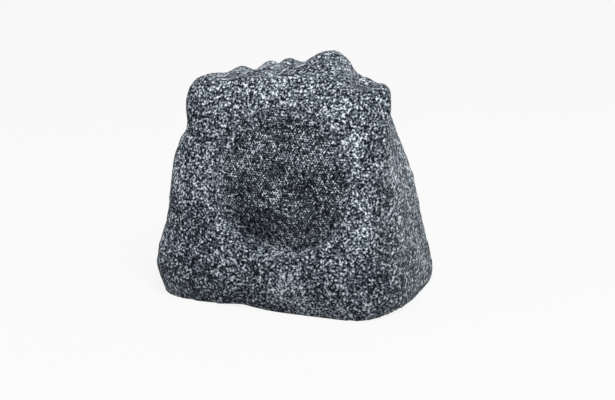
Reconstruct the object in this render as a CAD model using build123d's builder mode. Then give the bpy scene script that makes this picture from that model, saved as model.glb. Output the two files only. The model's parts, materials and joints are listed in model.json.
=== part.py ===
from build123d import *
import math
import os
from typing import NamedTuple

# A garden speaker in the shape of a rock. A hollow moulded shell holds a coaxial two-way driver
# behind a perforated grille, and a base plate that carries the crossover closes it from below.
# Millimetres. The ground is z = 0, the front faces -Y and the origin is under the middle.

# Rock: how far it reaches from the origin, and the height of its shoulder
ROCK_LEFT = 151.0
ROCK_RIGHT = 151.0
ROCK_FRONT = 122.0
ROCK_BACK = 106.0
SHOULDER_HEIGHT = 252.0
WALL = 5.0

# Driver's place: beside the middle, below the shoulder, behind the rock's face, leaning back
DRIVER_X = 14.0
DRIVER_DROP = 104.0
DRIVER_LEAN = 5.0
RECESS_DEPTH = 14.0

# Grille, its cloth and the recess that they sit in
GRILLE_RADIUS = 81.5
GRILLE_SHEET = 1.2
GRILLE_RISE = 9.0
GRILLE_RIM = 5.5
GRILLE_LIP = 2.0
GRILLE_GAP = 0.5
HOLE_PITCH = 13.0
HOLE_FLATS = 8.6
HOLE_RINGS = 5
SCREEN_THICKNESS = 0.6
SEAT_WIDTH = 5.0
LIP_FLARE = 12.0
LIP_LENGTH = 20.0
POCKET_DEPTH = 16.4
BAFFLE_THICKNESS = 6.0

# Woofer frame
GASKET_THICKNESS = 1.5
GASKET_WIDTH = 6.5
FLANGE_RADIUS = 76.0
FLANGE_THICKNESS = 2.0
FLANGE_GAP = 1.0
CUTOUT_RADIUS = 69.0
BASKET_SHEET = 1.7
BASKET_MOUTH = 63.5
BASKET_WAIST = 47.0
SPIDER_LEVEL = -33.0
BASKET_NECK = 41.0
BASKET_FLOOR = -46.0
SPOKES = 6
SPOKE_WIDTH = 13.0
SCREW_CIRCLE = 72.5
DRIVER_SCREW_RADIUS = 1.85
DRIVER_SCREW_HEAD = 3.3
DRIVER_SCREW_HEAD_HEIGHT = 2.2
DRIVER_SCREW_LENGTH = 11.0
SCREW_PLAY = 0.05
SCREW_HOLE_PLAY = 0.4

# Motor
TOP_PLATE_RADIUS = 40.0
TOP_PLATE_THICKNESS = 5.0
MAGNET_RADIUS = 43.0
MAGNET_BORE = 22.0
MAGNET_THICKNESS = 18.0
POLE_RADIUS = 12.2
POLE_VENT = 4.95
POLE_PLATE_RADIUS = 40.0
POLE_PLATE_THICKNESS = 5.0
COIL_AIR = 0.5
FORMER_WALL = 0.3
WINDING_WALL = 0.75
WINDING_LENGTH = 12.0
GLUE = 0.05

# Moving parts of the woofer
CONE_SHEET = 0.9
CONE_RADIUS = 57.5
CONE_LANDING = 3.5
CONE_NECK_LEVEL = -29.0
CONE_COLLAR = 3.0
SURROUND_SHEET = 0.8
SURROUND_ROLL = 4.5
SURROUND_LANDING = 2.3
SPIDER_SHEET = 0.7
SPIDER_WAVE = 1.6
SPIDER_WAVES = 3

# Tweeter on a post through the pole
POST_RADIUS = 4.9
POST_BORE = 2.2
POST_TAIL = 4.0
TWEETER_RADIUS = 17.0
TWEETER_BACK = -14.0
TWEETER_DEPTH = 13.0
TWEETER_SHELL = 1.5
TWEETER_RING = 2.5
DOME_RADIUS = 10.0
DOME_RISE = 3.0
DOME_FILM = 0.4
DOME_EDGE = 2.0
TWEETER_MAGNET_RADIUS = 9.5
TWEETER_MAGNET_THICKNESS = 6.0

# Tag strip on the woofer's frame
STRIP_WIDTH = 26.0
STRIP_HEIGHT = 10.0
STRIP_THICKNESS = 1.6
TAG_WIDTH = 4.8
TAG_LENGTH = 9.0
TAG_THICKNESS = 0.8
TAG_SPACING = 13.0

# Base plate, its seal, ledge and screws
BASE_LIFT = 4.0
BASE_THICKNESS = 3.5
BASE_GAP = 1.0
SEAL_THICKNESS = 1.5
SEAL_WIDTH = 8.0
SEAL_MARGIN = 3.0
LEDGE_THICKNESS = 5.0
LEDGE_WIDTH = 15.0
BOSS_RADIUS = 5.0
BOSS_HEIGHT = 10.0
BASE_SCREWS = 8
BASE_SCREW_RADIUS = 1.9
BASE_SCREW_HEAD = 4.0
BASE_SCREW_HEAD_HEIGHT = 2.2
BASE_SCREW_LENGTH = 18.0
RIB_HEIGHT = 4.0
RIB_THICKNESS = 2.5

# Crossover board on the base plate
BOARD_X = -10.0
BOARD_Y = 18.0
BOARD_LENGTH = 96.0
BOARD_WIDTH = 62.0
BOARD_THICKNESS = 1.6
STANDOFF_RADIUS = 3.6
STANDOFF_HEIGHT = 8.0
STANDOFF_MARGIN = 5.0
BOARD_SCREW_RADIUS = 1.4
BOARD_SCREW_HEAD = 2.8
BOARD_SCREW_HEAD_HEIGHT = 1.8
BOARD_SCREW_LENGTH = 7.0
BOBBIN_RADIUS = 16.0
BOBBIN_CORE = 7.0
BOBBIN_BORE = 4.0
BOBBIN_HEIGHT = 20.0
BOBBIN_FLANGE = 2.0
WINDING_MARGIN = 1.5
CAPACITOR_RADIUS = 8.0
CAPACITOR_HEIGHT = 24.0
CAPACITOR_SPACING = 19.0
RESISTOR_LENGTH = 24.0
RESISTOR_SIDE = 9.0
BLOCK_LENGTH = 40.0
BLOCK_WIDTH = 11.0
BLOCK_HEIGHT = 14.0
BLOCK_WAYS = 4
BLOCK_ENTRY = 2.0
LEAD_RADIUS = 1.0
LEAD_BEND = 7.0
LEAD_RISE = 22.0
LEAD_TAIL = 24.0

# Cable gland low on the back
GLAND_X = -60.0
GLAND_Z = 40.0
GLAND_SINK = 3.0
GLAND_FACE_RADIUS = 15.0
GLAND_BOSS = 9.0
GLAND_THREAD = 8.0
GLAND_THREAD_PLAY = 0.3
GLAND_BORE = 4.2
GLAND_HEX = 24.0
GLAND_HEX_HEIGHT = 6.0
GLAND_SEAL_RADIUS = 13.0
GLAND_SEAL_THICKNESS = 1.5
GLAND_NECK = 4.0
GLAND_CAP_RADIUS = 11.0
GLAND_CAP_LENGTH = 11.2
GLAND_CAP_FACE = 3.0
GLAND_CAP_GAP = 0.3
CABLE_BORE = 3.5
INSERT_BORE = 3.7
LOCKNUT_FLATS = 22.0
LOCKNUT_THICKNESS = 5.0

# How finely the rock's rings and its top are drawn, and how the points share between sides and corners
RING_POINTS = 40
RING_EVENNESS = 0.7
TOP_COLUMNS = 13
TOP_ROWS = 9
TOP_SPREAD = 1.12

# Rock's top above its shoulder: a slope that rises to the right, a low dome, a peak and a step down beside it
TOP_RISE = 11.0
TOP_SLOPE = 0.10
RIM_ROUND = 8.0
PEAK_X = 42.0
STEP_X = 66.0
STEP_DROP = 18.0
STEP_LENGTH = 8.0


class Level(NamedTuple):
    """One horizontal section of the rock, as shares of the rock's height and reach."""

    height: float
    left: float
    right: float
    front: float
    back: float
    taper_left: float
    taper_right: float
    power: float


class Mound(NamedTuple):
    """A smooth rise on the rock's top: its middle, how far it spreads each way and its height."""

    x: float
    y: float
    x_spread: float
    y_spread: float
    rise: float


class Lump(NamedTuple):
    """A swelling or hollow in the rock's side: where it is, how far it spreads, its share of the reach."""

    turn: float
    height: float
    turn_spread: float
    height_spread: float
    rise: float


LEVELS = [
    Level(0.000, 0.975, 0.985, 0.95, 0.94, 0.04, 0.02, 4.6),
    Level(0.055, 0.990, 1.000, 0.98, 0.99, 0.04, 0.02, 4.8),
    Level(0.190, 1.000, 0.985, 1.00, 1.00, 0.08, 0.08, 5.0),
    Level(0.373, 0.930, 0.970, 0.95, 0.88, 0.13, 0.13, 5.0),
    Level(0.580, 0.910, 0.940, 0.88, 0.72, 0.19, 0.19, 5.0),
    Level(0.778, 0.845, 0.900, 0.79, 0.53, 0.26, 0.28, 5.0),
    Level(0.920, 0.825, 0.945, 0.70, 0.35, 0.32, 0.42, 5.0),
    Level(1.000, 0.765, 0.945, 0.61, 0.23, 0.36, 0.50, 4.6),
    Level(1.140, 0.700, 0.880, 0.46, 0.10, 0.36, 0.50, 4.6),
]
MOUNDS = {
    "low dome": Mound(0, -10, 80, 60, 8),
    "peak": Mound(PEAK_X, -6, 22, 40, 15),
}
LUMPS = {
    "notch under the left shoulder": Lump(-146, 0.82, 8, 0.05, -0.05),
    "hollow low on the front": Lump(-112, 0.0, 18, 0.12, -0.035),
    "toe at the front right": Lump(-58, 0.0, 12, 0.10, 0.02),
}


def side_ring(level: Level, inset: float) -> list[Vector]:
    """Points of one horizontal section, an uneven rounded rectangle that narrows to the back."""
    front = ROCK_FRONT * level.front - inset
    back = ROCK_BACK * level.back - inset
    points = []
    for step in range(RING_POINTS):
        turn = 90 + 360 * step / RING_POINTS
        across = math.cos(math.radians(turn))
        along = math.sin(math.radians(turn))
        reach_across = (ROCK_RIGHT * level.right if across > 0 else ROCK_LEFT * level.left) - inset
        reach_along = back if along > 0 else front
        u = abs(across) ** RING_EVENNESS
        v = abs(along) ** RING_EVENNESS
        corner = (u**level.power + v**level.power) ** (-1 / level.power)
        x = math.copysign(reach_across * u * corner, across)
        y = math.copysign(reach_along * v * corner, along)
        taper = level.taper_right if across > 0 else level.taper_left
        x *= 1 - taper * (y + front) / (front + back)
        swell = 1.0
        for lump in LUMPS.values():
            off_turn = (turn - lump.turn + 180) % 360 - 180
            off_height = level.height - lump.height
            fall = (off_turn / lump.turn_spread) ** 2 + (off_height / lump.height_spread) ** 2
            swell += lump.rise * math.exp(-fall)
        points.append(Vector(x * swell, y * swell, SHOULDER_HEIGHT * level.height))
    return points


def top_height(x: float, y: float) -> float:
    """Height of the rock's top above a point of the ground."""
    height = SHOULDER_HEIGHT + TOP_RISE + TOP_SLOPE * (x - PEAK_X)
    height -= STEP_DROP / (1 + math.exp((STEP_X - x) / STEP_LENGTH))
    for mound in MOUNDS.values():
        fall = ((x - mound.x) / mound.x_spread) ** 2 + ((y - mound.y) / mound.y_spread) ** 2
        height += mound.rise * math.exp(-fall)
    return height


def rock_solid(inset: float) -> Solid:
    """The rock as a solid, moved inwards by inset: its sides are lofted and its top is cut to form."""
    rings = [side_ring(level, inset) for level in LEVELS]
    sides = Solid.make_loft([Wire([Edge.make_spline(ring, periodic=True)]) for ring in rings])
    grid = []
    for column in range(TOP_COLUMNS):
        x = TOP_SPREAD * (column / (TOP_COLUMNS - 1) * (ROCK_LEFT + ROCK_RIGHT) - ROCK_LEFT)
        rows = []
        for row in range(TOP_ROWS):
            y = TOP_SPREAD * (row / (TOP_ROWS - 1) * (ROCK_FRONT + ROCK_BACK) - ROCK_FRONT)
            rows.append(Vector(x, y, top_height(x, y) - inset))
        grid.append(rows)
    above = Solid.extrude(Face.make_surface_from_array_of_points(grid), Vector(0, 0, SHOULDER_HEIGHT))
    return (sides - above).solid()


def hollow(body: Part, space: Part) -> Solid:
    """A body with a space in it, both standing on the ground: their faces are joined by the rim there."""
    skin = body.faces().sort_by(Axis.Z)
    walls = space.faces().sort_by(Axis.Z)
    rim = Face(skin[0].outer_wire(), [walls[0].outer_wire()])
    return Solid(Shell([rim, *skin[1:], *[-wall for wall in walls[1:]]]))


def front_reach(height: float) -> float:
    """How far the rock's front stands from the origin at a height, between its levels."""
    share = height / SHOULDER_HEIGHT
    for low, high in zip(LEVELS, LEVELS[1:]):
        if low.height <= share <= high.height:
            part = (share - low.height) / (high.height - low.height)
            return ROCK_FRONT * (low.front + part * (high.front - low.front))
    return ROCK_FRONT * LEVELS[-1].front


# The driver's axis points out of the rock; levels along it count from the baffle's front face
DRIVER_Z = SHOULDER_HEIGHT - DRIVER_DROP
LEAN = math.radians(DRIVER_LEAN)
OUTWARD = Vector(0, -math.cos(LEAN), math.sin(LEAN))
DRIVER_CENTRE = Vector(DRIVER_X, RECESS_DEPTH + POCKET_DEPTH - front_reach(DRIVER_Z), DRIVER_Z)
DRIVER_AXIS = Axis(DRIVER_CENTRE, OUTWARD)
DRIVER_PLANE = Plane(origin=DRIVER_CENTRE, x_dir=(1, 0, 0), z_dir=OUTWARD)
SECTION = Plane(origin=DRIVER_CENTRE, x_dir=(1, 0, 0), z_dir=(0, -math.sin(LEAN), -math.cos(LEAN)))

# Levels along the driver's axis
FLANGE_BACK = GASKET_THICKNESS
FLANGE_FRONT = FLANGE_BACK + FLANGE_THICKNESS
SCREEN_BACK = POCKET_DEPTH
GRILLE_BACK = SCREEN_BACK + SCREEN_THICKNESS
TOP_PLATE_FRONT = BASKET_FLOOR - BASKET_SHEET
TOP_PLATE_BACK = TOP_PLATE_FRONT - TOP_PLATE_THICKNESS
MAGNET_BACK = TOP_PLATE_BACK - MAGNET_THICKNESS
POLE_PLATE_BACK = MAGNET_BACK - POLE_PLATE_THICKNESS
FORMER_INNER = POLE_RADIUS + COIL_AIR
FORMER_OUTER = FORMER_INNER + FORMER_WALL
WINDING_INNER = FORMER_OUTER + GLUE
WINDING_OUTER = WINDING_INNER + WINDING_WALL
PLATE_BORE = WINDING_OUTER + COIL_AIR
WINDING_BACK = (TOP_PLATE_FRONT + TOP_PLATE_BACK - WINDING_LENGTH) / 2

# Radii of the recess
RECESS_RADIUS = GRILLE_RADIUS + GRILLE_GAP
POCKET_RADIUS = FLANGE_RADIUS + FLANGE_GAP

# Heights above the ground at the base
BASE_TOP = BASE_LIFT + BASE_THICKNESS
LEDGE_BOTTOM = BASE_TOP + SEAL_THICKNESS
LEDGE_TOP = LEDGE_BOTTOM + LEDGE_THICKNESS
BOARD_BOTTOM = BASE_TOP + STANDOFF_HEIGHT
BOARD_TOP = BOARD_BOTTOM + BOARD_THICKNESS

os.makedirs("parts", exist_ok=True)


def turned(*points: tuple[float, float]) -> Sketch:
    """A closed section for a piece turned about the driver's axis: radius and level of each corner."""
    with BuildSketch(SECTION) as section:
        with BuildLine():
            Polyline(*points, close=True)
        make_face()
    return section.sketch


def ring_section(inner: float, outer: float, back: float, front: float) -> Sketch:
    """The section of a plain ring about the driver's axis."""
    return turned((inner, back), (outer, back), (outer, front), (inner, front))


def base_outline(inset: float, height: float) -> Sketch:
    """The cavity's outline at the ground, moved inwards, as a face at a height."""
    with BuildSketch(Plane.XY.offset(height)) as outline:
        with BuildLine():
            ring = side_ring(LEVELS[0], inset)
            Spline(*[(point.X, point.Y) for point in ring], periodic=True)
        make_face()
    return outline.sketch


def base_screw_places() -> list[tuple[float, float]]:
    """Middles of the base plate's screws, spread along its edge."""
    path = side_ring(LEVELS[0], WALL + BASE_GAP + SEAL_MARGIN + SEAL_WIDTH / 2)
    wire = Edge.make_spline([Vector(point.X, point.Y, 0) for point in path], periodic=True)
    places = [wire.position_at((index + 0.5) / BASE_SCREWS) for index in range(BASE_SCREWS)]
    return [(place.X, place.Y) for place in places]


def pan_screw(head: float, head_height: float, shank: float, length: float) -> Part:
    """A pan-head screw that points down from a seat at z = 0."""
    with BuildPart() as screw:
        Cylinder(head, head_height, align=(Align.CENTER, Align.CENTER, Align.MIN))
        chamfer(screw.edges().sort_by(Axis.Z)[-1], head_height * 0.4)
        with Locations((0, 0, -length / 2)):
            Cylinder(shank, length)
    return screw.part


# Cavity inside the rock, with room left for the driver's cup, the base ledge and the bosses
GLAND_SEAT = ROCK_BACK - GLAND_SINK
GLAND_PLANE = Plane(origin=(GLAND_X, GLAND_SEAT, GLAND_Z), x_dir=(-1, 0, 0), z_dir=(0, 1, 0))
BASE_PLACES = base_screw_places()
BOSS_TOP = LEDGE_TOP + BOSS_HEIGHT

with BuildPart() as cavity:
    add(rock_solid(WALL))
    # The cup around the recess keeps one wall's thickness outside it
    cup_back = -BAFFLE_THICKNESS
    cup_step = SCREEN_BACK - WALL
    cup_flare = SCREEN_BACK + WALL
    cup_front = cup_flare + LIP_LENGTH * 2
    revolve(
        turned(
            (0, cup_back),
            (POCKET_RADIUS + WALL, cup_back),
            (POCKET_RADIUS + WALL, cup_step),
            (RECESS_RADIUS + WALL, cup_step),
            (RECESS_RADIUS + WALL, cup_flare),
            (RECESS_RADIUS + WALL + LIP_FLARE * 2, cup_front),
            (0, cup_front),
        ),
        axis=DRIVER_AXIS,
        mode=Mode.SUBTRACT,
    )
    # Ledge that the base plate's seal presses on, and the bosses above it
    with BuildSketch(Plane.XY.offset(LEDGE_BOTTOM)):
        add(base_outline(0, LEDGE_BOTTOM))
        offset(amount=WALL)
        add(base_outline(WALL + LEDGE_WIDTH, LEDGE_BOTTOM), mode=Mode.SUBTRACT)
    extrude(amount=LEDGE_THICKNESS, mode=Mode.SUBTRACT)
    with BuildSketch(Plane.XY.offset(LEDGE_BOTTOM)):
        with Locations(*BASE_PLACES):
            Circle(BOSS_RADIUS)
    extrude(amount=LEDGE_THICKNESS + BOSS_HEIGHT, mode=Mode.SUBTRACT)
    # Thick round seat for the gland
    with BuildSketch(GLAND_PLANE):
        Circle(GLAND_FACE_RADIUS)
    extrude(amount=-GLAND_BOSS, mode=Mode.SUBTRACT)

# Rock's outside, with the edge of its top rounded
with BuildPart() as outside:
    add(rock_solid(0))
    fillet(outside.faces().sort_by(Axis.Z)[-1].outer_wire().edges(), RIM_ROUND)

# Rock shell: the rock without its cavity, with the recess and the holes
with BuildPart() as rock_shell:
    add(hollow(outside.part, cavity.part))
    lip_start = GRILLE_BACK + GRILLE_SHEET + GRILLE_LIP
    with BuildSketch(SECTION):
        with BuildLine():
            Polyline(
                (RECESS_RADIUS, lip_start),
                (RECESS_RADIUS, SCREEN_BACK),
                (POCKET_RADIUS, SCREEN_BACK),
                (POCKET_RADIUS, 0),
                (CUTOUT_RADIUS, 0),
                (CUTOUT_RADIUS, -BAFFLE_THICKNESS - 1),
                (0, -BAFFLE_THICKNESS - 1),
                (0, lip_start + LIP_LENGTH * 2),
                (RECESS_RADIUS + LIP_FLARE * 2, lip_start + LIP_LENGTH * 2),
                (RECESS_RADIUS + LIP_FLARE, lip_start + LIP_LENGTH),
            )
            TangentArc(
                (RECESS_RADIUS, lip_start),
                (RECESS_RADIUS + LIP_FLARE, lip_start + LIP_LENGTH),
                tangent=(0, 1),
            )
        make_face()
    revolve(axis=DRIVER_AXIS, mode=Mode.SUBTRACT)
    # Pilot holes for the driver's screws and for the base plate's screws
    with BuildSketch(DRIVER_PLANE):
        with PolarLocations(SCREW_CIRCLE, SPOKES):
            Circle(DRIVER_SCREW_RADIUS + SCREW_PLAY)
    extrude(amount=-BAFFLE_THICKNESS, mode=Mode.SUBTRACT)
    with BuildSketch(Plane.XY.offset(LEDGE_BOTTOM)):
        with Locations(*BASE_PLACES):
            Circle(BASE_SCREW_RADIUS + SCREW_PLAY)
    extrude(amount=LEDGE_THICKNESS + BOSS_HEIGHT - 1, mode=Mode.SUBTRACT)
    # Flat seat and hole for the gland
    with BuildSketch(GLAND_PLANE):
        Circle(GLAND_FACE_RADIUS)
    extrude(amount=GLAND_SINK * 3, mode=Mode.SUBTRACT)
    with BuildSketch(GLAND_PLANE):
        Circle(GLAND_THREAD + GLAND_THREAD_PLAY)
    extrude(amount=-GLAND_BOSS - WALL, mode=Mode.SUBTRACT)

# Grille: domed sheet with a flat rim, a turned-up edge and a pattern of six-sided holes
GRILLE_FLAT = GRILLE_RADIUS - GRILLE_RIM
DOME_BALL = (GRILLE_FLAT**2 + GRILLE_RISE**2) / (2 * GRILLE_RISE)
with BuildPart() as grille:
    with BuildSketch(SECTION):
        with BuildLine():
            back_of_rim = GRILLE_BACK
            front_of_rim = GRILLE_BACK + GRILLE_SHEET
            Polyline(
                (GRILLE_FLAT, back_of_rim),
                (GRILLE_RADIUS, back_of_rim),
                (GRILLE_RADIUS, front_of_rim + GRILLE_LIP),
                (GRILLE_RADIUS - GRILLE_SHEET, front_of_rim + GRILLE_LIP),
                (GRILLE_RADIUS - GRILLE_SHEET, front_of_rim),
                (GRILLE_FLAT, front_of_rim),
            )
            RadiusArc((GRILLE_FLAT, front_of_rim), (0, front_of_rim + GRILLE_RISE), -DOME_BALL)
            Line((0, front_of_rim + GRILLE_RISE), (0, back_of_rim + GRILLE_RISE))
            RadiusArc((0, back_of_rim + GRILLE_RISE), (GRILLE_FLAT, back_of_rim), DOME_BALL)
        make_face()
    revolve(axis=DRIVER_AXIS)
    with BuildSketch(DRIVER_PLANE.offset(GRILLE_BACK)):
        for ring in range(HOLE_RINGS + 1):
            for corner in range(6 if ring else 1):
                for step in range(max(ring, 1)):
                    start = Vector(HOLE_PITCH * ring, 0).rotate(Axis.Z, 60 * corner)
                    along = Vector(HOLE_PITCH * step, 0).rotate(Axis.Z, 60 * corner + 120)
                    with Locations((start.X + along.X, start.Y + along.Y)):
                        RegularPolygon(HOLE_FLATS / 2, 6, major_radius=False, rotation=30)
    extrude(amount=GRILLE_RISE + GRILLE_SHEET * 2, mode=Mode.SUBTRACT)

# Weather screen: cloth clamped between the recess's seat and the grille's rim
with BuildPart() as weather_screen:
    revolve(ring_section(0, GRILLE_RADIUS, SCREEN_BACK, GRILLE_BACK), axis=DRIVER_AXIS)

# Driver gasket between the baffle and the woofer's flange
with BuildPart() as driver_gasket:
    revolve(ring_section(FLANGE_RADIUS - GASKET_WIDTH, FLANGE_RADIUS, 0, FLANGE_BACK), axis=DRIVER_AXIS)
    with BuildSketch(DRIVER_PLANE):
        with PolarLocations(SCREW_CIRCLE, SPOKES):
            Circle(DRIVER_SCREW_RADIUS + SCREW_HOLE_PLAY)
    extrude(amount=FLANGE_BACK, mode=Mode.SUBTRACT)

# Woofer basket: pressed frame with a flange, six spokes, a landing for the spider and a floor
with BuildPart() as woofer_basket:
    revolve(
        turned(
            (FLANGE_RADIUS, FLANGE_FRONT),
            (FLANGE_RADIUS, FLANGE_BACK),
            (BASKET_MOUTH + BASKET_SHEET, FLANGE_BACK),
            (BASKET_WAIST + BASKET_SHEET, SPIDER_LEVEL),
            (BASKET_WAIST + BASKET_SHEET, SPIDER_LEVEL - BASKET_SHEET),
            (BASKET_NECK + BASKET_SHEET, SPIDER_LEVEL - BASKET_SHEET),
            (BASKET_NECK + BASKET_SHEET, BASKET_FLOOR - BASKET_SHEET),
            (PLATE_BORE, BASKET_FLOOR - BASKET_SHEET),
            (PLATE_BORE, BASKET_FLOOR),
            (BASKET_NECK, BASKET_FLOOR),
            (BASKET_NECK, SPIDER_LEVEL),
            (BASKET_WAIST, SPIDER_LEVEL),
            (BASKET_MOUTH, FLANGE_BACK),
            (BASKET_MOUTH, FLANGE_FRONT),
        ),
        axis=DRIVER_AXIS,
    )
    window_front = FLANGE_BACK - FLANGE_THICKNESS * 2
    window_back = SPIDER_LEVEL + FLANGE_THICKNESS * 2
    with BuildSketch(DRIVER_PLANE.offset(window_back)):
        Circle(FLANGE_RADIUS)
        with PolarLocations(0, SPOKES // 2, start_angle=30):
            Rectangle(FLANGE_RADIUS * 2.5, SPOKE_WIDTH, mode=Mode.SUBTRACT)
    extrude(amount=window_front - window_back, mode=Mode.SUBTRACT)
    with BuildSketch(DRIVER_PLANE.offset(FLANGE_BACK)):
        with PolarLocations(SCREW_CIRCLE, SPOKES):
            Circle(DRIVER_SCREW_RADIUS + SCREW_HOLE_PLAY)
    extrude(amount=FLANGE_THICKNESS, mode=Mode.SUBTRACT)

# Driver screws
driver_screw = pan_screw(
    DRIVER_SCREW_HEAD, DRIVER_SCREW_HEAD_HEIGHT, DRIVER_SCREW_RADIUS, DRIVER_SCREW_LENGTH - FLANGE_FRONT
)
with BuildPart(DRIVER_PLANE.offset(FLANGE_FRONT)) as driver_screws:
    with PolarLocations(SCREW_CIRCLE, SPOKES):
        add(driver_screw)

# Motor: top plate, ring magnet, and the pole on its back plate
with BuildPart() as top_plate:
    revolve(
        ring_section(PLATE_BORE, TOP_PLATE_RADIUS, TOP_PLATE_BACK, TOP_PLATE_FRONT), axis=DRIVER_AXIS
    )

with BuildPart() as magnet_ring:
    revolve(ring_section(MAGNET_BORE, MAGNET_RADIUS, MAGNET_BACK, TOP_PLATE_BACK), axis=DRIVER_AXIS)

with BuildPart() as pole_plate:
    revolve(
        turned(
            (POLE_VENT, POLE_PLATE_BACK),
            (POLE_PLATE_RADIUS - POLE_PLATE_THICKNESS / 2, POLE_PLATE_BACK),
            (POLE_PLATE_RADIUS, POLE_PLATE_BACK + POLE_PLATE_THICKNESS / 2),
            (POLE_PLATE_RADIUS, MAGNET_BACK),
            (POLE_RADIUS, MAGNET_BACK),
            (POLE_RADIUS, TOP_PLATE_FRONT),
            (POLE_VENT, TOP_PLATE_FRONT),
        ),
        axis=DRIVER_AXIS,
    )

# Voice coil: a thin tube with its winding in the magnet's gap
FORMER_FRONT = CONE_NECK_LEVEL + CONE_COLLAR
with BuildPart() as voice_coil_former:
    revolve(ring_section(FORMER_INNER, FORMER_OUTER, WINDING_BACK, FORMER_FRONT), axis=DRIVER_AXIS)

with BuildPart() as voice_coil_winding:
    revolve(
        ring_section(WINDING_INNER, WINDING_OUTER, WINDING_BACK, WINDING_BACK + WINDING_LENGTH),
        axis=DRIVER_AXIS,
    )

# Woofer cone: a collar on the former, a curved flare and a flat landing for the surround
with BuildPart() as woofer_cone:
    collar = FORMER_OUTER + GLUE
    landing = CONE_RADIUS - CONE_LANDING
    with BuildSketch(SECTION):
        with BuildLine():
            Polyline(
                (landing, FLANGE_FRONT - CONE_SHEET),
                (CONE_RADIUS, FLANGE_FRONT - CONE_SHEET),
                (CONE_RADIUS, FLANGE_FRONT),
                (landing - CONE_SHEET, FLANGE_FRONT),
            )
            RadiusArc(
                (landing - CONE_SHEET, FLANGE_FRONT),
                (collar + CONE_SHEET, FORMER_FRONT),
                -CONE_RADIUS * 2,
            )
            Polyline(
                (collar + CONE_SHEET, FORMER_FRONT),
                (collar, FORMER_FRONT),
                (collar, CONE_NECK_LEVEL),
                (collar + CONE_SHEET, CONE_NECK_LEVEL),
            )
            RadiusArc(
                (collar + CONE_SHEET, CONE_NECK_LEVEL),
                (landing, FLANGE_FRONT - CONE_SHEET),
                CONE_RADIUS * 2,
            )
        make_face()
    revolve(axis=DRIVER_AXIS)

# Woofer surround: a half roll between the cone's landing and the basket's flange
ROLL_INNER = CONE_RADIUS
ROLL_OUTER = CONE_RADIUS + SURROUND_ROLL * 2
with BuildPart() as woofer_surround:
    low = FLANGE_FRONT
    high = FLANGE_FRONT + SURROUND_SHEET
    with BuildSketch(SECTION):
        with BuildLine():
            Polyline(
                (ROLL_INNER, low),
                (CONE_RADIUS - CONE_LANDING, low),
                (CONE_RADIUS - CONE_LANDING, high),
                (ROLL_INNER - SURROUND_SHEET, high),
            )
            ThreePointArc(
                (ROLL_INNER - SURROUND_SHEET, high),
                ((ROLL_INNER + ROLL_OUTER) / 2, high + SURROUND_ROLL + SURROUND_SHEET),
                (ROLL_OUTER + SURROUND_SHEET, high),
            )
            Polyline(
                (ROLL_OUTER + SURROUND_SHEET, high),
                (ROLL_OUTER + SURROUND_LANDING, high),
                (ROLL_OUTER + SURROUND_LANDING, low),
                (ROLL_OUTER, low),
            )
            ThreePointArc(
                (ROLL_OUTER, low),
                ((ROLL_INNER + ROLL_OUTER) / 2, low + SURROUND_ROLL),
                (ROLL_INNER, low),
            )
        make_face()
    revolve(axis=DRIVER_AXIS)

# Spider: a corrugated cloth disc that centres the coil
SPIDER_INNER = FORMER_OUTER + GLUE
SPIDER_FLAT = BASKET_NECK - 1
with BuildPart() as spider:
    wave = (SPIDER_FLAT - SPIDER_INNER) / (SPIDER_WAVES * 2 + 1)
    crests = [
        (SPIDER_INNER + wave * (index + 0.5), SPIDER_LEVEL + (SPIDER_WAVE if index % 2 else -SPIDER_WAVE))
        for index in range(SPIDER_WAVES * 2 + 1)
    ]
    path = [(SPIDER_INNER, SPIDER_LEVEL), *crests, (SPIDER_FLAT, SPIDER_LEVEL)]
    outer_edge = BASKET_WAIST - GLUE
    with BuildSketch(SECTION):
        with BuildLine():
            Spline(*path)
            Polyline(
                (SPIDER_FLAT, SPIDER_LEVEL),
                (outer_edge, SPIDER_LEVEL),
                (outer_edge, SPIDER_LEVEL + SPIDER_SHEET),
                (SPIDER_FLAT, SPIDER_LEVEL + SPIDER_SHEET),
            )
            Spline(*[(radius, level + SPIDER_SHEET) for radius, level in reversed(path)])
            Line((SPIDER_INNER, SPIDER_LEVEL + SPIDER_SHEET), (SPIDER_INNER, SPIDER_LEVEL))
        make_face()
    revolve(axis=DRIVER_AXIS)

# Tag strip and tags on the lowest spoke of the basket
strip_level = (FLANGE_BACK + SPIDER_LEVEL) / 2
strip_share = (FLANGE_BACK - strip_level) / (FLANGE_BACK - SPIDER_LEVEL)
strip_radius = BASKET_MOUTH + BASKET_SHEET - strip_share * (BASKET_MOUTH - BASKET_WAIST)
STRIP_PLANE = Plane(
    origin=DRIVER_PLANE.from_local_coords(Vector(0, -strip_radius, strip_level)),
    x_dir=(1, 0, 0),
    z_dir=-DRIVER_PLANE.y_dir,
)
wall_slope = math.degrees(math.atan2(BASKET_MOUTH - BASKET_WAIST, FLANGE_BACK - SPIDER_LEVEL))
STRIP_PLANE = STRIP_PLANE.rotated((wall_slope, 0, 0))
with BuildPart(STRIP_PLANE) as terminal_strip:
    with Locations((0, 0, STRIP_THICKNESS / 2 + GLUE * 2)):
        Box(STRIP_WIDTH, STRIP_HEIGHT, STRIP_THICKNESS)

strip_face = STRIP_THICKNESS + GLUE * 2
with BuildPart(STRIP_PLANE) as terminal_tags:
    with GridLocations(TAG_SPACING, 0, 2, 1):
        with Locations((0, 0, strip_face + TAG_LENGTH / 2)):
            Box(TAG_WIDTH, TAG_THICKNESS, TAG_LENGTH)

# Tweeter: post, cup, magnet, dome and the ring that holds its edge
TWEETER_FRONT = TWEETER_BACK + TWEETER_DEPTH
with BuildPart() as tweeter_post:
    revolve(ring_section(POST_BORE, POST_RADIUS, POLE_PLATE_BACK - POST_TAIL, TWEETER_BACK), axis=DRIVER_AXIS)

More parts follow.
